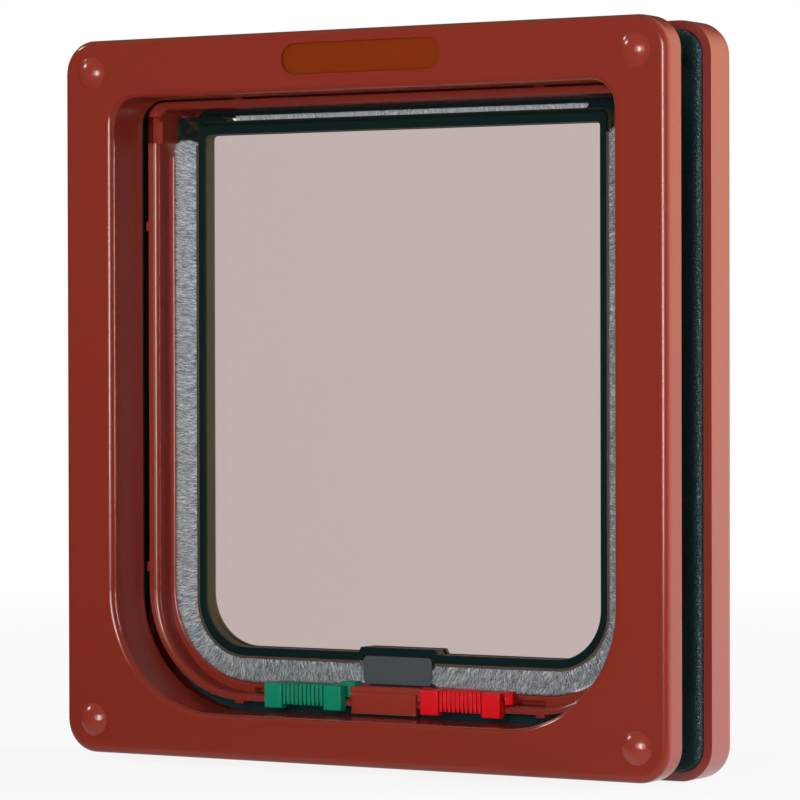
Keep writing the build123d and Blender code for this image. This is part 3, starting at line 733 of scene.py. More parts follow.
def plain_mesh(name: str, shape: bmesh.types.BMesh, finish: bpy.types.Material) -> bpy.types.Mesh:
    """Turns a built shape to a mesh with its faces outwards and one finish.

    Args:
        name: Name of the mesh.
        shape: Built shape, which is freed.
        finish: Finish of the mesh.

    Returns:
        The mesh in place.
    """
    bmesh.ops.recalc_face_normals(shape, faces=shape.faces)
    mesh = bpy.data.meshes.new(name)
    shape.to_mesh(mesh)
    shape.free()
    mesh.materials.append(finish)
    return mesh


def add_band(
    shape: bmesh.types.BMesh,
    rails: list[tuple[Vector, Vector]],
    depths: tuple[float, float],
    ring: bool = False,
) -> None:
    """Adds a closed band between an inner and an outer rail.

    Args:
        shape: Shape that gets the band.
        rails: Inner and outer points in XZ along the band, in millimetres.
        depths: Front and back of the band, in millimetres.
        ring: Whether the band's end joins its start.
    """
    front, back = depths
    loops = []
    for inner, outer in rails:
        corners = ((inner, front), (outer, front), (outer, back), (inner, back))
        loops.append([shape.verts.new((place.x * MM, y * MM, place.y * MM)) for place, y in corners])
    following = loops[1:] + loops[:1] if ring else loops[1:]
    for first, second in zip(loops, following):
        for corner in range(4):
            after = (corner + 1) % 4
            shape.faces.new((first[corner], first[after], second[after], second[corner]))
    if not ring:
        shape.faces.new(loops[0])
        shape.faces.new(loops[-1][::-1])


def arc(
    centre: Vector, radius: float, first_deg: float, last_deg: float, steps: int
) -> list[tuple[Vector, Vector]]:
    """Points along an arc in XZ.

    Args:
        centre: Centre of the arc.
        radius: Its radius.
        first_deg: Where it starts, counted from X towards Z.
        last_deg: Where it ends.
        steps: Steps between its ends.

    Returns:
        Each point with the direction from the centre to it.
    """
    found = []
    for step in range(steps + 1):
        angle = math.radians(first_deg + (last_deg - first_deg) * step / steps)
        out = Vector((math.cos(angle), math.sin(angle)))
        found.append((centre + out * radius, out))
    return found


def extrude(
    shape: bmesh.types.BMesh, outline: list[tuple[float, float]], front: float, depth: float
) -> list[bmesh.types.BMEdge]:
    """Adds a solid with a given outline.

    Args:
        shape: Shape that gets the solid.
        outline: Corners in XZ, in millimetres.
        front: Where the outline is drawn along Y, in metres.
        depth: How far it is extruded along Y, in metres.

    Returns:
        The edges round the face that moved.
    """
    face = shape.faces.new([shape.verts.new((x * MM, front, z * MM)) for x, z in outline])
    grown = bmesh.ops.extrude_face_region(shape, geom=[face])["geom"]
    moved = [item for item in grown if isinstance(item, bmesh.types.BMVert)]
    bmesh.ops.translate(shape, verts=moved, vec=(0.0, depth, 0.0))
    return [item for item in grown if isinstance(item, bmesh.types.BMEdge)]


@dataclass(frozen=True)
class BrokenEdges:
    """The softly broken edges of a small moulding, put on a copy of its CAD node."""

    edge_round: float = 0.35
    edge_steps: int = 2
    sharp_deg: float = 40.0
    flat_deg: float = 1.0
    merge_gap: float = 0.001

    def add(self, node: str, body: Body, slot: str, finish: bpy.types.Material) -> None:
        """Rounds the edges of a copy of the CAD node and lets it stand for the node.

        Args:
            node: CAD node of the moulding.
            body: Body that it moves with.
            slot: Material slot of the record, not used.
            finish: Finish of the moulding.
        """
        shape = bmesh.new()
        shape.from_mesh(frame["nodes"][node].data)
        bmesh.ops.remove_doubles(shape, verts=shape.verts, dist=self.merge_gap * MM)
        flat = math.radians(self.flat_deg)
        bmesh.ops.dissolve_limit(shape, angle_limit=flat, verts=shape.verts, edges=shape.edges)
        mesh = bpy.data.meshes.new(f"{node}_rounded")
        shape.to_mesh(mesh)
        shape.free()
        mesh.materials.clear()
        mesh.materials.append(finish)
        mesh.polygons.foreach_set("material_index", [0] * len(mesh.polygons))
        piece = new_piece(f"{node}_rounded", mesh, body)
        soft = piece.modifiers.new("broken_edges", "BEVEL")
        soft.width = self.edge_round * MM
        soft.segments = self.edge_steps
        soft.limit_method = "ANGLE"
        soft.angle_limit = math.radians(self.sharp_deg)
        soft.harden_normals = False
        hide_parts(node)


@dataclass
class IndoorFrame:
    """Indoor frame with its screw caps and the bare inlay of its badge recess."""

    badge_centre: tuple[float, float] = (2.6, 103.4)
    badge_length: float = 56.3
    badge_height: float = 9.6
    badge_depth: float = 0.8
    inlay_inset: float = 0.12
    inlay_thickness: float = 0.25
    inlay_bevel: float = 0.08
    bevel_steps: int = 2
    bevel_profile: float = 0.5
    corner_steps: int = 24

    def build(
        self, plastic: bpy.types.Material, caps: bpy.types.Material, inlay: bpy.types.Material
    ) -> None:
        """Dresses the frame and caps and lays the inlay in its recess.

        Args:
            plastic: Finish of the frame.
            caps: Finish of the screw caps.
            inlay: Finish of the bare badge field.
        """
        dress("inside_frame", plastic)
        dress("screw_caps", caps)
        new_piece("badge_inlay", self.inlay_mesh(inlay), Body.FRAME)

    def inlay_mesh(self, finish: bpy.types.Material) -> bpy.types.Mesh:
        """Builds the thin round-ended field on the floor of the recess.

        Args:
            finish: Material of the field.

        Returns:
            The mesh in place.
        """
        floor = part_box("inside_frame")[0].y + self.badge_depth * MM
        radius = self.badge_height / 2 - self.inlay_inset
        half = self.badge_length / 2 - self.badge_height / 2
        x, z = self.badge_centre
        ends = arc(Vector((x + half, z)), radius, -90.0, 90.0, self.corner_steps)
        ends += arc(Vector((x - half, z)), radius, 90.0, 270.0, self.corner_steps)
        shape = bmesh.new()
        rim = extrude(shape, [tuple(point) for point, _ in ends], floor, -self.inlay_thickness * MM)
        bmesh.ops.bevel(
            shape,
            geom=rim,
            offset=self.inlay_bevel * MM,
            segments=self.bevel_steps,
            profile=self.bevel_profile,
            affect="EDGES",
        )
        return plain_mesh("badge_inlay", shape, finish)


@dataclass
class OutdoorFrame:
    """Outdoor frame with its gasket, screws, bushes and magnet housing."""

    plastic_nodes: tuple[str, ...] = ("outside_frame", "hinge_bushes")
    flange_width: float = 6.0
    cover_edges: BrokenEdges = BrokenEdges(edge_round=0.3)
    edge_half: float = 87.8
    edge_bottom: float = -95.25
    edge_corner: float = 34.55
    edge_width: float = 4.25
    edge_depths: tuple[float, float] = (17.6, 21.0)
    edge_steps: int = 16
    head_radius: float = 3.6
    web_inner: float = 1.85
    web_outer: float = 3.85
    web_depths: tuple[float, float] = (17.2, 18.6)
    web_steps: int = 32
    strip_inner: float = 76.15
    strip_floor: float = 88.6
    corner_centre: tuple[float, float] = (78.4, 86.43)
    corner_radius: float = 4.05
    corner_start_deg: float = 32.5
    corner_steps: int = 10

    def build(
        self,
        plastic: bpy.types.Material,
        flange: bpy.types.Material,
        cover: bpy.types.Material,
        foam: bpy.types.Material,
        steel: bpy.types.Material,
        ferrite: bpy.types.Material,
    ) -> None:
        """Dresses the CAD nodes of the outdoor frame and adds its small foam pieces.

        Args:
            plastic: Finish of the mouldings.
            flange: Finish of the outdoor frame's outer flange.
            cover: Finish of the magnet housing.
            foam: Finish of the gasket.
            steel: Finish of the screws.
            ferrite: Finish of the hidden magnet.
        """
        for node in self.plastic_nodes:
            dress(node, plastic)
        self.dress_flange(flange)
        dress("foam_gasket", foam)
        dress("draught_strip", foam)
        dress("fixing_screws", steel)
        dress("frame_magnet", ferrite)
        self.cover_edges.add("magnet_cover", Body.FRAME, "redbrown", cover)
        new_piece("draught_strip_ends", self.strip_ends(foam), Body.FRAME)
        # Partly painted shade: this dark foam edge also darkens the slot under the tunnel.
        new_piece("gasket_inner_edge_and_shade", self.gasket_edge_and_shade(foam), Body.FRAME)
        new_piece("gasket_screw_webs", self.screw_webs(foam), Body.FRAME)

    def dress_flange(self, finish: bpy.types.Material) -> None:
        """Gives the faces of the outer flange a finish of their own.

        Args:
            finish: Finish of the flange.
        """
        low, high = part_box("outside_frame")
        middle = (low + high) / 2
        inner = high - middle - Vector.Fill(3, self.flange_width * MM)
        mesh = frame["nodes"]["outside_frame"].data
        mesh.materials.append(finish)
        for face in mesh.polygons:
            apart = face.center - middle
            on_flange = abs(apart.x) > inner.x or abs(apart.z) > inner.z
            face.material_index = 1 if on_flange else 0

    def gasket_edge_and_shade(self, finish: bpy.types.Material) -> bpy.types.Mesh:
        """Builds the gasket's inner edge, which closes the slot round the lower half of the tunnel; its dark
        foam is also painted shade in that slot.

        Args:
            finish: Finish of the foam.

        Returns:
            The mesh in place.
        """
        centre = Vector((self.edge_half - self.edge_corner, self.edge_bottom + self.edge_corner))
        corners = arc(Vector((-centre.x, centre.y)), self.edge_corner, 180.0, 270.0, self.edge_steps)
        corners += arc(centre, self.edge_corner, 270.0, 360.0, self.edge_steps)
        rails = [(inner, inner + out * self.edge_width) for inner, out in corners]
        shape = bmesh.new()
        add_band(shape, rails, self.edge_depths)
        return plain_mesh("gasket_inner_edge_and_shade", shape, finish)

    def screw_webs(self, finish: bpy.types.Material) -> bpy.types.Mesh:
        """Builds the thin webs of the gasket that close in on the four screws.

        Args:
            finish: Finish of the foam.

        Returns:
            One mesh with the four webs in place.
        """
        low, high = (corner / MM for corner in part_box("fixing_screws"))
        shape = bmesh.new()
        for x in (low.x + self.head_radius, high.x - self.head_radius):
            for z in (low.z + self.head_radius, high.z - self.head_radius):
                turn = arc(Vector((x, z)), self.web_inner, 0.0, 360.0, self.web_steps)[:-1]
                width = self.web_outer - self.web_inner
                add_band(shape, [(p, p + out * width) for p, out in turn], self.web_depths, ring=True)
        return plain_mesh("gasket_screw_webs", shape, finish)

    def strip_ends(self, finish: bpy.types.Material) -> bpy.types.Mesh:
        """Builds the rounded ends of the draught strip, which fill the tunnel's upper corners.

        Args:
            finish: Finish of the foam.

        Returns:
            One mesh with both ends in place.
        """
        low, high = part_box("draught_strip")
        corner = arc(
            Vector(self.corner_centre), self.corner_radius, self.corner_start_deg, 90.0, self.corner_steps
        )
        outline = [(self.strip_inner, self.strip_floor)]
        outline += [tuple(point) for point, _ in corner]
        outline.append((self.strip_inner, outline[-1][1]))
        shape = bmesh.new()
        for side in Side:
            extrude(shape, [(side.value * x, z) for x, z in outline], low.y, high.y - low.y)
        return plain_mesh("draught_strip_ends", shape, finish)


@dataclass
class SwingFlap:
    """Smoked flap and its magnet; its pane is clear and its thick rim nearly black."""

    pane_front: float = 21.8
    pane_back: float = 24.0
    slack: float = 0.1
    squareness: float = 0.99

    def build(
        self, pane: bpy.types.Material, rim: bpy.types.Material, case: bpy.types.Material
    ) -> None:
        """Dresses the flap.

        Args:
            pane: Finish of the clear pane.
            rim: Finish of the thick rim and arms.
            case: Finish of the magnet block.
        """
        dress("flap_panel", rim)
        mesh = frame["nodes"]["flap_panel"].data
        mesh.materials.append(pane)
        for face in mesh.polygons:
            depth = face.center.y / MM
            on_pane = min(abs(depth - self.pane_front), abs(depth - self.pane_back)) < self.slack
            face.material_index = 1 if on_pane and abs(face.normal.y) > self.squareness else 0
        dress("flap_magnet", case)


@dataclass
class BristleTree:
    """Geometry Nodes tree that stands bristles on a root strip.

    The strip's points carry the reach, the growing direction and the looseness of their bristles.
    """

    name: str = "bristles"
    length_draw: int = 7
    inputs: dict[str, str] = field(default_factory=dict)

    def build(self) -> bpy.types.NodeTree:
        """Builds the tree and notes the identifiers of its inputs.

        Returns:
            The node tree.
        """
        tree = bpy.data.node_groups.new(self.name, "GeometryNodeTree")
        face = tree.interface
        face.new_socket("Geometry", in_out="OUTPUT", socket_type="NodeSocketGeometry")
        face.new_socket("Geometry", in_out="INPUT", socket_type="NodeSocketGeometry")
        for label, kind in (
            ("Density", "NodeSocketFloat"),
            ("Thickness", "NodeSocketFloat"),
            ("Shortest", "NodeSocketFloat"),
            ("Seed", "NodeSocketInt"),
            ("Finish", "NodeSocketMaterial"),
        ):
            self.inputs[label] = face.new_socket(label, in_out="INPUT", socket_type=kind).identifier
        given = add_node(tree, "NodeGroupInput").outputs
        roots = add_node(
            tree,
            "GeometryNodeDistributePointsOnFaces",
            links={"Mesh": given["Geometry"], "Density": given["Density"], "Seed": given["Seed"]},
        )
        bristle = add_node(
            tree,
            "GeometryNodeMeshCone",
            {"Vertices": 3, "Side Segments": 1, "Radius Top": 0.0, "Radius Bottom": 0.5, "Depth": 1.0},
        )
        noted = {
            label: add_node(tree, "GeometryNodeInputNamedAttribute", {"data_type": kind, "Name": label})
            for label, kind in (("reach", "FLOAT"), ("grow", "FLOAT_VECTOR"), ("loose", "FLOAT"))
        }
        stray = add_node(
            tree,
            "FunctionNodeRandomValue",
            {"data_type": "FLOAT_VECTOR", VECTOR_MIN: (-1.0, -1.0, -1.0), VECTOR_MAX: (1.0, 1.0, 1.0)},
            {"Seed": given["Seed"]},
        )
        sway = add_node(
            tree,
            "ShaderNodeVectorMath",
            {"operation": "SCALE"},
            {0: stray.outputs[0], "Scale": noted["loose"].outputs[0]},
        )
        aim = add_node(
            tree,
            "ShaderNodeVectorMath",
            {"operation": "ADD"},
            {0: noted["grow"].outputs[0], 1: sway.outputs[0]},
        )
        stand = add_node(
            tree, "FunctionNodeAlignRotationToVector", {"axis": "Z"}, {"Vector": aim.outputs[0]}
        )
        share = add_node(
            tree,
            "FunctionNodeRandomValue",
            {"data_type": "FLOAT", NUMBER_MAX: 1.0, "ID": self.length_draw},
            {NUMBER_MIN: given["Shortest"], "Seed": given["Seed"]},
        )
        length = add_node(
            tree,
            "ShaderNodeMath",
            {"operation": "MULTIPLY"},
            {0: noted["reach"].outputs[0], 1: share.outputs[1]},
        )
        size = add_node(
            tree,
            "ShaderNodeCombineXYZ",
            links={"X": given["Thickness"], "Y": given["Thickness"], "Z": length.outputs[0]},
        )
        pile = add_node(
            tree,
            "GeometryNodeInstanceOnPoints",
            links={
                "Points": roots.outputs["Points"],
                "Instance": bristle.outputs["Mesh"],
                "Rotation": stand.outputs[0],
                "Scale": size.outputs["Vector"],
            },
        )
        shade = add_node(tree, "FunctionNodeRandomValue", {"data_type": "FLOAT"}, {"Seed": given["Seed"]})
        tinted = add_node(
            tree,
            "GeometryNodeStoreNamedAttribute",
            {"data_type": "FLOAT", "domain": "INSTANCE", "Name": "shade"},
            {"Geometry": pile.outputs["Instances"], "Value": shade.outputs[1]},
        )
        plain = add_node(tree, "GeometryNodeRealizeInstances", links={"Geometry": tinted.outputs["Geometry"]})
        finished = add_node(
            tree,
            "GeometryNodeSetMaterial",
            links={"Geometry": plain.outputs["Geometry"], "Material": given["Finish"]},
        )
        add_node(tree, "NodeGroupOutput", links={"Geometry": finished.outputs["Geometry"]})
        return tree


@dataclass
class BrushSeal:
    """Pile strips round the flap: their tape, bristles and reach to the seal land."""

    rim_half: float = 73.2
    rim_bottom: float = -81.65
    rim_corner: float = 17.5
    strip_top: float = 79.6
    strip_end: float = 13.4
    magnet_half: float = 12.3
    ear_bottom: float = 81.2
    land_half: float = 82.2
    land_bottom: float = -89.9
    land_corner: float = 28.95
    # Below nought, because the tips press lightly on the seal land.
    tip_gap: float = -0.15
    arm_half: float = 29.2
    arm_tip: float = -89.3
    pile_front: float = 17.0
    pile_back: float = 24.5
    tape_front: float = 16.6
    tape_back: float = 24.9
    tape_thickness: float = 0.8
    seat_gap: float = 0.06
    lean_deg: float = 16.0
    splay_deg: float = 16.0
    splay_share: float = 0.06
    nap_length: float = 2.4
    nap_rows: int = 7
    nap_lift: float = 0.3
    nap_looseness: float = 0.45
    stand_looseness: float = 0.1
    top_half: float = 63.1
    top_seat: float = 87.06
    top_tip: float = 88.95
    top_front: float = 23.05
    top_back: float = 25.35
    path_step: float = 2.0
    depth_steps: int = 4
    density: float = 1.25e7
    thickness: float = 0.17
    shortest: float = 0.95
    search_steps: int = 30
    seed: int = 11

    def build(self, pile: bpy.types.Material, lit: bpy.types.Material, tape: bpy.types.Material) -> None:
        """Builds the three strips.

        Args:
            pile: Finish of the side strips' bristles.
            lit: Finish of the short bristles on the flap's upper edge: the same pile, painted paler as if
                lit.
            tape: Finish of the backing tape.
        """
        tree = BristleTree()
        group = tree.build()
        for side in Side:
            name = f"brush_{side.name.lower()}"
            path = self.side_path(side)
            self.add_strip(name, path, (self.pile_front, self.pile_back), pile, tree, group)
            backing = self.tape_mesh(f"{name}_tape", path, tape)
            new_piece(f"{name}_tape", backing, Body.FLAP)
        self.add_strip("brush_top", self.top_path(), (self.top_front, self.top_back), lit, tree, group)

    def add_strip(
        self,
        name: str,
        path: RootPath,
        depths: tuple[float, float],
        finish: bpy.types.Material,
        tree: BristleTree,
        group: bpy.types.NodeTree,
    ) -> None:
        """Grows one strip of pile and lets it stand for its CAD node.

        Args:
            name: CAD node that the strip stands for.
            path: Root points, outward directions, bristle directions and reaches.
            depths: Front and back of the pile.
            finish: Finish of the bristles.
            tree: Holder of the tree's input names.
            group: The bristle tree.
        """
        root = new_object(f"{name}_root", self.root_mesh(f"{name}_root", path, depths))
        modifier = root.modifiers.new("bristles", "NODES")
        modifier.node_group = group
        values = {
            "Density": self.density,
            "Thickness": self.thickness * MM,
            "Shortest": self.shortest,
            "Seed": self.seed,
            "Finish": finish,
        }
        for label, value in values.items():
            modifier[tree.inputs[label]] = value
        graph = bpy.context.evaluated_depsgraph_get()
        mesh = bpy.data.meshes.new_from_object(root.evaluated_get(graph), depsgraph=graph)
        mesh.name = f"{name}_pile"
        bpy.data.objects.remove(root)
        piece = new_piece(f"{name}_pile", mesh, Body.FLAP)
        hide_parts(name)

    def side_path(self, side: Side) -> RootPath:
        """Root points of a side strip, from its top round the corner to the magnet.

        Args:
            side: Left or right strip.

        Returns:
            Points in XZ, outward directions, bristle directions and reaches, in millimetres.
        """
        centre = Vector((self.rim_half - self.rim_corner, self.rim_bottom + self.rim_corner))
        places = []
        steps = round((self.strip_top - centre.y) / self.path_step)
        for step in range(steps):
            z = self.strip_top + (centre.y - self.strip_top) * step / steps
            places.append((Vector((self.rim_half, z)), Vector((1.0, 0.0))))
        turns = round(self.rim_corner * math.pi / 2 / self.path_step)
        places += arc(centre, self.rim_corner, 0.0, -90.0, turns)
        steps = round((centre.x - self.strip_end) / self.path_step)
        for step in range(1, steps + 1):
            x = centre.x + (self.strip_end - centre.x) * step / steps
            places.append((Vector((x, self.rim_bottom)), Vector((0.0, -1.0))))
        path = []
        for number, (point, out) in enumerate(places):
            start = point + out * (self.seat_gap + self.tape_thickness)
            way = self.leaned(out, number / (len(places) - 1))
            reach = self.reach(start, way)
            place, outward, aim = (Vector((side.value * v.x, v.y)) for v in (start, out, way))
            path.append((place, outward, aim, reach))
        return path if side is Side.RIGHT else path[::-1]

    def leaned(self, out: Vector, share: float) -> Vector:
        """Direction of the bristles, which lean towards the strip's ends and splay there.

        Args:
            out: Outward direction.
            share: Place along the right-hand strip, from 0 at its top to 1 at the magnet.

        Returns:
            The direction in XZ.
        """
        near_top = max(0.0, 1 - share / self.splay_share)
        near_end = max(0.0, 1 - (1 - share) / self.splay_share)
        angle = self.lean_deg * (1 - 2 * share) + self.splay_deg * (near_top - near_end)
        turn = Matrix.Rotation(math.radians(angle), 2)
        return turn @ out

    def reach(self, start: Vector, out: Vector) -> float:
        """Length of a bristle that ends on the seal land, or clear of the locks, magnet and pivot arms.

        Args:
            start: Root of the bristle.
            out: Direction of the bristle.

        Returns:
            The length in millimetres.
        """
        low, high = 0.0, 2 * self.land_corner
        for _ in range(self.search_steps):
            middle = (low + high) / 2
            if self.is_free(start + out * middle):
                low = middle
            else:
                high = middle
        return low

    def is_free(self, point: Vector) -> bool:
        """Tells whether a bristle may reach this point."""
        half = self.land_half - self.tip_gap
        bottom = self.land_bottom + self.tip_gap
        corner = self.land_corner - self.tip_gap
        if point.x > half or point.y < bottom:
            return False
        if point.x < self.magnet_half or point.y > self.ear_bottom:
            return False
        if point.x < self.arm_half:
            return point.y > self.arm_tip
        centre = Vector((half - corner, bottom + corner))
        if point.x > centre.x and point.y < centre.y:
            return (point - centre).length < corner
        return True

    def top_path(self) -> RootPath:
        """Root points of the strip along the flap's upper edge."""
        steps = round(2 * self.top_half / self.path_step)
        up = Vector((0.0, 1.0))
        path = []
        for step in range(steps + 1):
            x = self.top_half * (1 - 2 * step / steps)
            path.append((Vector((x, self.top_seat)), up, up, self.top_tip - self.top_seat))
        return path

    def root_mesh(
        self, name: str, path: RootPath, depths: tuple[float, float]
    ) -> bpy.types.Mesh:
        """Builds the strip that the bristles stand on and the nap over its front.

        Args:
            name: Name of the mesh.
            path: Root points, outward directions, bristle directions and reaches.
            depths: Front and back of the pile.

        Returns:
            Two grids whose points carry what their bristles need.
        """
        points, faces, notes = [], [], []
        for place, _, way, reach in path:
            for row in range(self.depth_steps + 1):
                y = depths[0] + (depths[1] - depths[0]) * row / self.depth_steps
                points.append((place.x * MM, y * MM, place.y * MM))
                notes.append((reach * MM, (way.x, 0.0, way.y), self.stand_looseness))
        faces += self.grid(0, len(path), self.depth_steps)
        first = len(points)
        for place, _, way, reach in path:
            for row in range(self.nap_rows + 1):
                share = row / (self.nap_rows + 1)
                spot = place + way * (reach * share)
                points.append((spot.x * MM, depths[0] * MM, spot.y * MM))
                length = min(self.nap_length, reach * (1 - share))
                notes.append((length * MM, (way.x, -self.nap_lift, way.y), self.nap_looseness))
        faces += self.grid(first, len(path), self.nap_rows)
        mesh = bpy.data.meshes.new(name)
        mesh.from_pydata(points, [], faces)
        mesh.update()
        mesh.attributes.new("reach", "FLOAT", "POINT").data.foreach_set("value", [n[0] for n in notes])
        grows = [axis for note in notes for axis in note[1]]
        mesh.attributes.new("grow", "FLOAT_VECTOR", "POINT").data.foreach_set("vector", grows)
        mesh.attributes.new("loose", "FLOAT", "POINT").data.foreach_set("value", [n[2] for n in notes])
        return mesh

    def grid(self, first: int, columns: int, steps: int) -> list[tuple[int, int, int, int]]:
        """Faces of a grid of points that are numbered across the path, one row of points after another.

        Args:
            first: Number of its first point.
            columns: Points along the path.
            steps: Faces across the path.

        Returns:
            The faces by point number.
        """
        rows = steps + 1
        faces = []
        for column in range(columns - 1):
            for row in range(steps):
                corner = first + column * rows + row
                faces.append((corner, corner + 1, corner + rows + 1, corner + rows))
        return faces

    def tape_mesh(
        self, name: str, path: RootPath, finish: bpy.types.Material
    ) -> bpy.types.Mesh:
        """Builds the woven tape between the rim and the pile.

        Args:
            name: Name of the mesh.
            path: Root points, outward directions, bristle directions and reaches.
            finish: Finish of the tape.

        Returns:
            The closed mesh of the tape.
        """
        rails = [(point - out * self.tape_thickness, point) for point, out, *_ in path]
        shape = bmesh.new()
        add_band(shape, rails, (self.tape_front, self.tape_back))
        return plain_mesh(name, shape, finish)


@dataclass
class LockSlides:
    """The green and red lock slides, with the softly broken edges of small mouldings."""

    edges: BrokenEdges = BrokenEdges()

    def build(self, green: bpy.types.Material, red: bpy.types.Material) -> None:
        """Makes both slides.

        Args:
            green: Finish of the left slide.
            red: Finish of the right slide.
        """
        self.edges.add("green_lock", Body.GREEN_SLIDE, "green", green)
        self.edges.add("red_lock", Body.RED_SLIDE, "red", red)


@dataclass(frozen=True)
class Softbox:
    """One soft studio lamp aimed at the middle of the flap."""

    name: str
    place: tuple[float, float, float]
    width: float
    height: float
    watts: float
    mirrored: bool = True

    def build(self) -> None:
        """Adds the lamp."""
        data = bpy.data.lights.new(self.name, "AREA")
        data.shape = "RECTANGLE"
        data.size = self.width
        data.size_y = self.height
        data.energy = self.watts
        lamp = new_object(self.name, data)
        lamp.location = self.place
        lamp.rotation_mode = "QUATERNION"
        lamp.rotation_quaternion = Vector(self.place).to_track_quat("Z", "Y")
        lamp.visible_glossy = self.mirrored


@dataclass
class Studio:
    """White floor, soft lamps, pale surround and the camera at the photographed angle."""

    yaw_deg: float = 31.0
    pitch_deg: float = 0.653
    roll_deg: float = -0.134
    place: tuple[float, float, float] = (0.6555, -1.0724, 0.0136)
    lens_mm: float = 185.7
    sensor_mm: float = 36.0
    clip: tuple[float, float] = (0.05, 60.0)
    floor_size: float = 40.0
    floor_drop: float = 0.0004
    floor_colour: str = "f4f4f4"
    floor_shadow: float = 0.12
    floor_mirrored: float = 1.25
    floor_mirrored_depths: tuple[float, float] = (-0.06, 0.05)
    floor_mirrored_sides: tuple[float, float] = (-0.2, -0.08)
    floor_fade: tuple[float, float] = (0.35, 1.1)
    ambient: float = 0.2
    mirrored_dark: float = 0.05
    mirrored_right: float = 1.7
    mirrored_tint: str = "ffe8c6"
    mirrored_above: float = 0.3
    right_edge: tuple[float, float] = (-0.1, 0.45)
    behind_edge: tuple[float, float] = (-0.3, 0.6)
    above_edge: tuple[float, float] = (0.3, 0.8)
    lamps: tuple[Softbox, ...] = (
        Softbox("front_softbox", (0.5, -1.52, 0.02), 1.3, 1.1, 15.3),
        Softbox("front_core", (0.47, -1.46, 0.02), 0.3, 0.9, 14.7),
        Softbox("small_upper_left", (-1.17, -0.46, 0.81), 0.2, 0.2, 3.8),
        Softbox("right_softbox", (1.75, 0.8, 0.1), 1.3, 1.5, 82.0, mirrored=False),
    )

    def build(self) -> None:
        """Builds the floor, the surround, the lamps and the camera."""
        bpy.context.scene.view_settings.view_transform = "Standard"
        self.build_floor()
        self.build_world()
        for lamp in self.lamps:
            lamp.build()
        self.build_camera()

    def build_floor(self) -> None:
        """Adds the plain white floor under the outdoor frame."""
        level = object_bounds()[0].z - self.floor_drop
        half = self.floor_size / 2
        mesh = bpy.data.meshes.new("studio_floor")
        corners = [(-half, -half, level), (half, -half, level), (half, half, level), (-half, half, level)]
        mesh.from_pydata(corners, [], [(0, 1, 2, 3)])
        mesh.materials.append(self.floor_material())
        new_object("studio_floor", mesh)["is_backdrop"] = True

    def floor_material(self) -> bpy.types.Material:
        """Builds smooth white paper, lit evenly.

        Gives the eye a white ground with a faint shade near the part, and the part's gloss a dimmer one.

        Returns:
            The node material.
        """
        material, tree = new_material("white_paper_floor")
        ray = add_node(tree, "ShaderNodeLightPath").outputs
        place = add_node(tree, "ShaderNodeTexCoord")
        away = add_node(
            tree, "ShaderNodeVectorMath", {"operation": "LENGTH"}, {0: place.outputs["Object"]}
        )
        fade = add_node(
            tree,
            "ShaderNodeMapRange",
            span("From", self.floor_fade) | span("To", (1 - self.floor_shadow, 1.0)),
            {"Value": away.outputs["Value"]},
        )
        shown = add_node(
            tree,
            "ShaderNodeMath",
            {"operation": "MULTIPLY"},
            {0: ray["Is Camera Ray"], 1: fade.outputs["Result"]},
        )
        white = add_node(
            tree,
            "ShaderNodeMath",
            {"operation": "MAXIMUM"},
            {0: shown.outputs[0], 1: ray["Is Transmission Ray"]},
        )
        paper = add_node(tree, "ShaderNodeBsdfDiffuse", {"Color": linear(self.floor_colour)})
        glow = add_node(tree, "ShaderNodeEmission", {"Strength": 1.0})
        seen = add_node(
            tree,
            "ShaderNodeMixShader",
            links={0: white.outputs[0], 1: paper.outputs[0], 2: glow.outputs[0]},
        )
        spot = add_node(tree, "ShaderNodeSeparateXYZ", links={0: place.outputs["Object"]})
        near = add_node(
            tree,
            "ShaderNodeMapRange",
            span("From", self.floor_mirrored_depths) | span("To", (self.mirrored_dark, self.floor_mirrored)),
            {"Value": spot.outputs["Y"]},
        )
        beside = add_node(
            tree, "ShaderNodeMapRange", span("From", self.floor_mirrored_sides), {"Value": spot.outputs["X"]}
        )
        level_there = add_node(
            tree,
            "ShaderNodeMath",
            {"operation": "MULTIPLY"},
            {0: near.outputs["Result"], 1: beside.outputs["Result"]},
        )
        mirrored = add_node(tree, "ShaderNodeEmission", links={"Strength": level_there.outputs[0]})
        bounced = add_node(
            tree,
            "ShaderNodeMath",
            {"operation": "SUBTRACT", "use_clamp": True},
            {0: ray["Is Glossy Ray"], 1: ray["Is Transmission Ray"]},
        )
        both = add_node(
            tree,
            "ShaderNodeMixShader",
            links={0: bounced.outputs[0], 1: seen.outputs[0], 2: mirrored.outputs[0]},
        )
        add_node(tree, "ShaderNodeOutputMaterial", links={"Surface": both.outputs[0]})
        return material

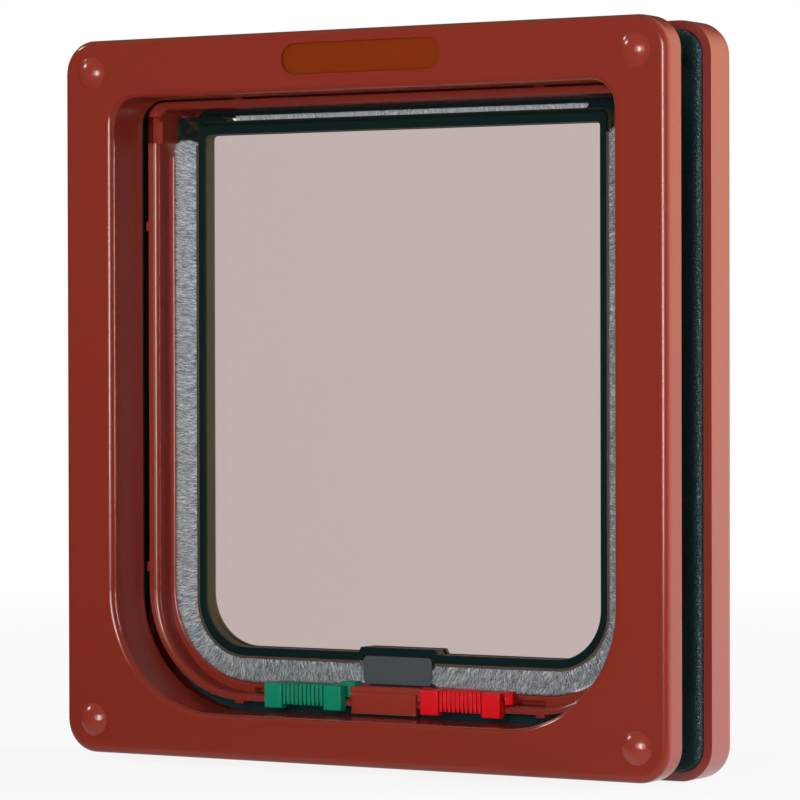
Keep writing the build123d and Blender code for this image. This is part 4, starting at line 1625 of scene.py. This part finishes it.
    def build_world(self) -> None:
        """Makes the surround white to the eye and a soft even light on the object."""
        world = bpy.data.worlds.new("studio_surround")
        bpy.context.scene.world = world
        tree = empty_tree(world)
        ray = add_node(tree, "ShaderNodeLightPath").outputs
        seen = add_node(
            tree,
            "ShaderNodeMath",
            {"operation": "MAXIMUM"},
            {0: ray["Is Camera Ray"], 1: ray["Is Transmission Ray"]},
        )
        direction = add_node(tree, "ShaderNodeTexCoord")
        split = add_node(tree, "ShaderNodeSeparateXYZ", links={0: direction.outputs["Generated"]})
        rises = []
        for axis, limits in (("X", self.right_edge), ("Y", self.behind_edge)):
            rise = add_node(
                tree,
                "ShaderNodeMapRange",
                {"interpolation_type": "SMOOTHSTEP"} | span("From", limits),
                {"Value": split.outputs[axis]},
            )
            rises.append(rise.outputs["Result"])
        corner = add_node(tree, "ShaderNodeMath", {"operation": "MULTIPLY"}, {0: rises[0], 1: rises[1]})
        depth = add_node(
            tree,
            "ShaderNodeMapRange",
            span("To", (self.mirrored_dark, self.mirrored_right)),
            {"Value": corner.outputs[0]},
        )
        height = add_node(
            tree,
            "ShaderNodeMapRange",
            span("From", self.above_edge) | span("To", (0.0, self.mirrored_above)),
            {"Value": split.outputs["Z"]},
        )
        surround = add_node(
            tree,
            "ShaderNodeMath",
            {"operation": "MAXIMUM"},
            {0: depth.outputs["Result"], 1: height.outputs["Result"]},
        )
        mirrored = add_node(
            tree,
            "ShaderNodeMix",
            {"data_type": "FLOAT", NUMBER_A: self.ambient},
            {0: ray["Is Glossy Ray"], NUMBER_B: surround.outputs[0]},
        )
        level = add_node(
            tree,
            "ShaderNodeMix",
            {"data_type": "FLOAT", NUMBER_B: 1.0},
            {0: seen.outputs[0], NUMBER_A: mirrored.outputs[0]},
        )
        bounced = add_node(
            tree,
            "ShaderNodeMath",
            {"operation": "SUBTRACT", "use_clamp": True},
            {0: ray["Is Glossy Ray"], 1: ray["Is Transmission Ray"]},
        )
        tint = add_node(
            tree,
            "ShaderNodeMix",
            {"data_type": "RGBA", COLOUR_A: linear(WHITE), COLOUR_B: linear(self.mirrored_tint)},
            {"Factor": bounced.outputs[0]},
        )
        sky = add_node(
            tree,
            "ShaderNodeBackground",
            links={"Color": tint.outputs[COLOUR_OUT], "Strength": level.outputs[0]},
        )
        add_node(tree, "ShaderNodeOutputWorld", links={"Surface": sky.outputs[0]})

    def build_camera(self) -> None:
        """Adds the camera at the fitted place and angle."""
        yaw, pitch, roll = (math.radians(a) for a in (self.yaw_deg, self.pitch_deg, self.roll_deg))
        right = Vector((math.cos(yaw), math.sin(yaw), 0.0))
        back = Vector((math.sin(yaw) * math.cos(pitch), -math.cos(yaw) * math.cos(pitch), math.sin(pitch)))
        up = back.cross(right)
        across = right * math.cos(roll) + up * math.sin(roll)
        upward = up * math.cos(roll) - right * math.sin(roll)
        data = bpy.data.cameras.new("photo_camera")
        data.lens = self.lens_mm
        data.sensor_width = self.sensor_mm
        data.clip_start, data.clip_end = self.clip
        camera = new_object("photo_camera", data)
        turn = Matrix((across, upward, back)).transposed().to_4x4()
        camera.matrix_world = Matrix.Translation(Vector(self.place)) @ turn
        bpy.context.scene.camera = camera


def main() -> None:
    """Builds every sub-assembly in order, and then the studio."""
    logging.basicConfig(level=logging.INFO, format="%(message)s")
    for thing in list(bpy.data.objects):
        if thing.type in {"LIGHT", "CAMERA"} or thing.name == "Cube":
            bpy.data.objects.remove(thing)
    IndoorFrame().build(
        MouldedPolypropylene("red_brown_polypropylene_moulded", *RED_BROWN).build(),
        # Painted light: the caps' colour is lighter than the frame's, standing in for the brighter lit look
        # of the domes.
        MouldedPolypropylene(
            "red_brown_polypropylene_satin_caps",
            "8e3024",
            "883024",
            roughness=0.2,
            specular=0.65,
            grain_depth=0.001,
        ).build(),
        MouldedPolypropylene(
            "burnt_orange_lacquer_sprayed", "7a2b00", "722800", roughness=0.5, specular=0.1
        ).build(),
    )
    OutdoorFrame().build(
        MouldedPolypropylene(
            "red_brown_polypropylene_polished_tunnel", *RED_BROWN, roughness=0.2, grain_depth=0.002
        ).build(),
        MouldedPolypropylene(
            "red_brown_polypropylene_satin_flange",
            *RED_BROWN,
            roughness=0.3,
            specular=1.0,
            grain_depth=0.002,
        ).build(),
        # Painted light: the housing's colour is lighter than the frame's, lifting the shade that falls on it.
        MouldedPolypropylene("red_brown_polypropylene_gloss_cover", "8e3024", "893024").build(),
        ClosedCellFoam().build(),
        PlatedSteel().build(),
        MattCase("ferrite_sintered", "35363a", "45464a").build(),
    )
    SwingFlap().build(
        SmokedAcrylic().build(),
        SmokedRim().build(),
        MattCase("grey_nylon_moulded", "343c3f", "3e464a").build(),
    )
    BrushSeal().build(
        CutPile().build(),
        # Painted light: the same grey pile in paler colours, for the bristles on the flap's upper edge.
        CutPile("grey_polypropylene_cut_pile_painted_lit", "788086", "c6ccd0", "ffffff").build(),
        WovenTape().build(),
    )
    LockSlides().build(
        MouldedPolypropylene(
            "green_polypropylene_moulded", "008566", "00795c", roughness=0.35, specular=0.3
        ).build(),
        MouldedPolypropylene(
            "red_polypropylene_moulded", "d40a18", "c40914", roughness=0.35, specular=0.3
        ).build(),
    )
    Studio().build()


if __name__ == "__main__":
    main()
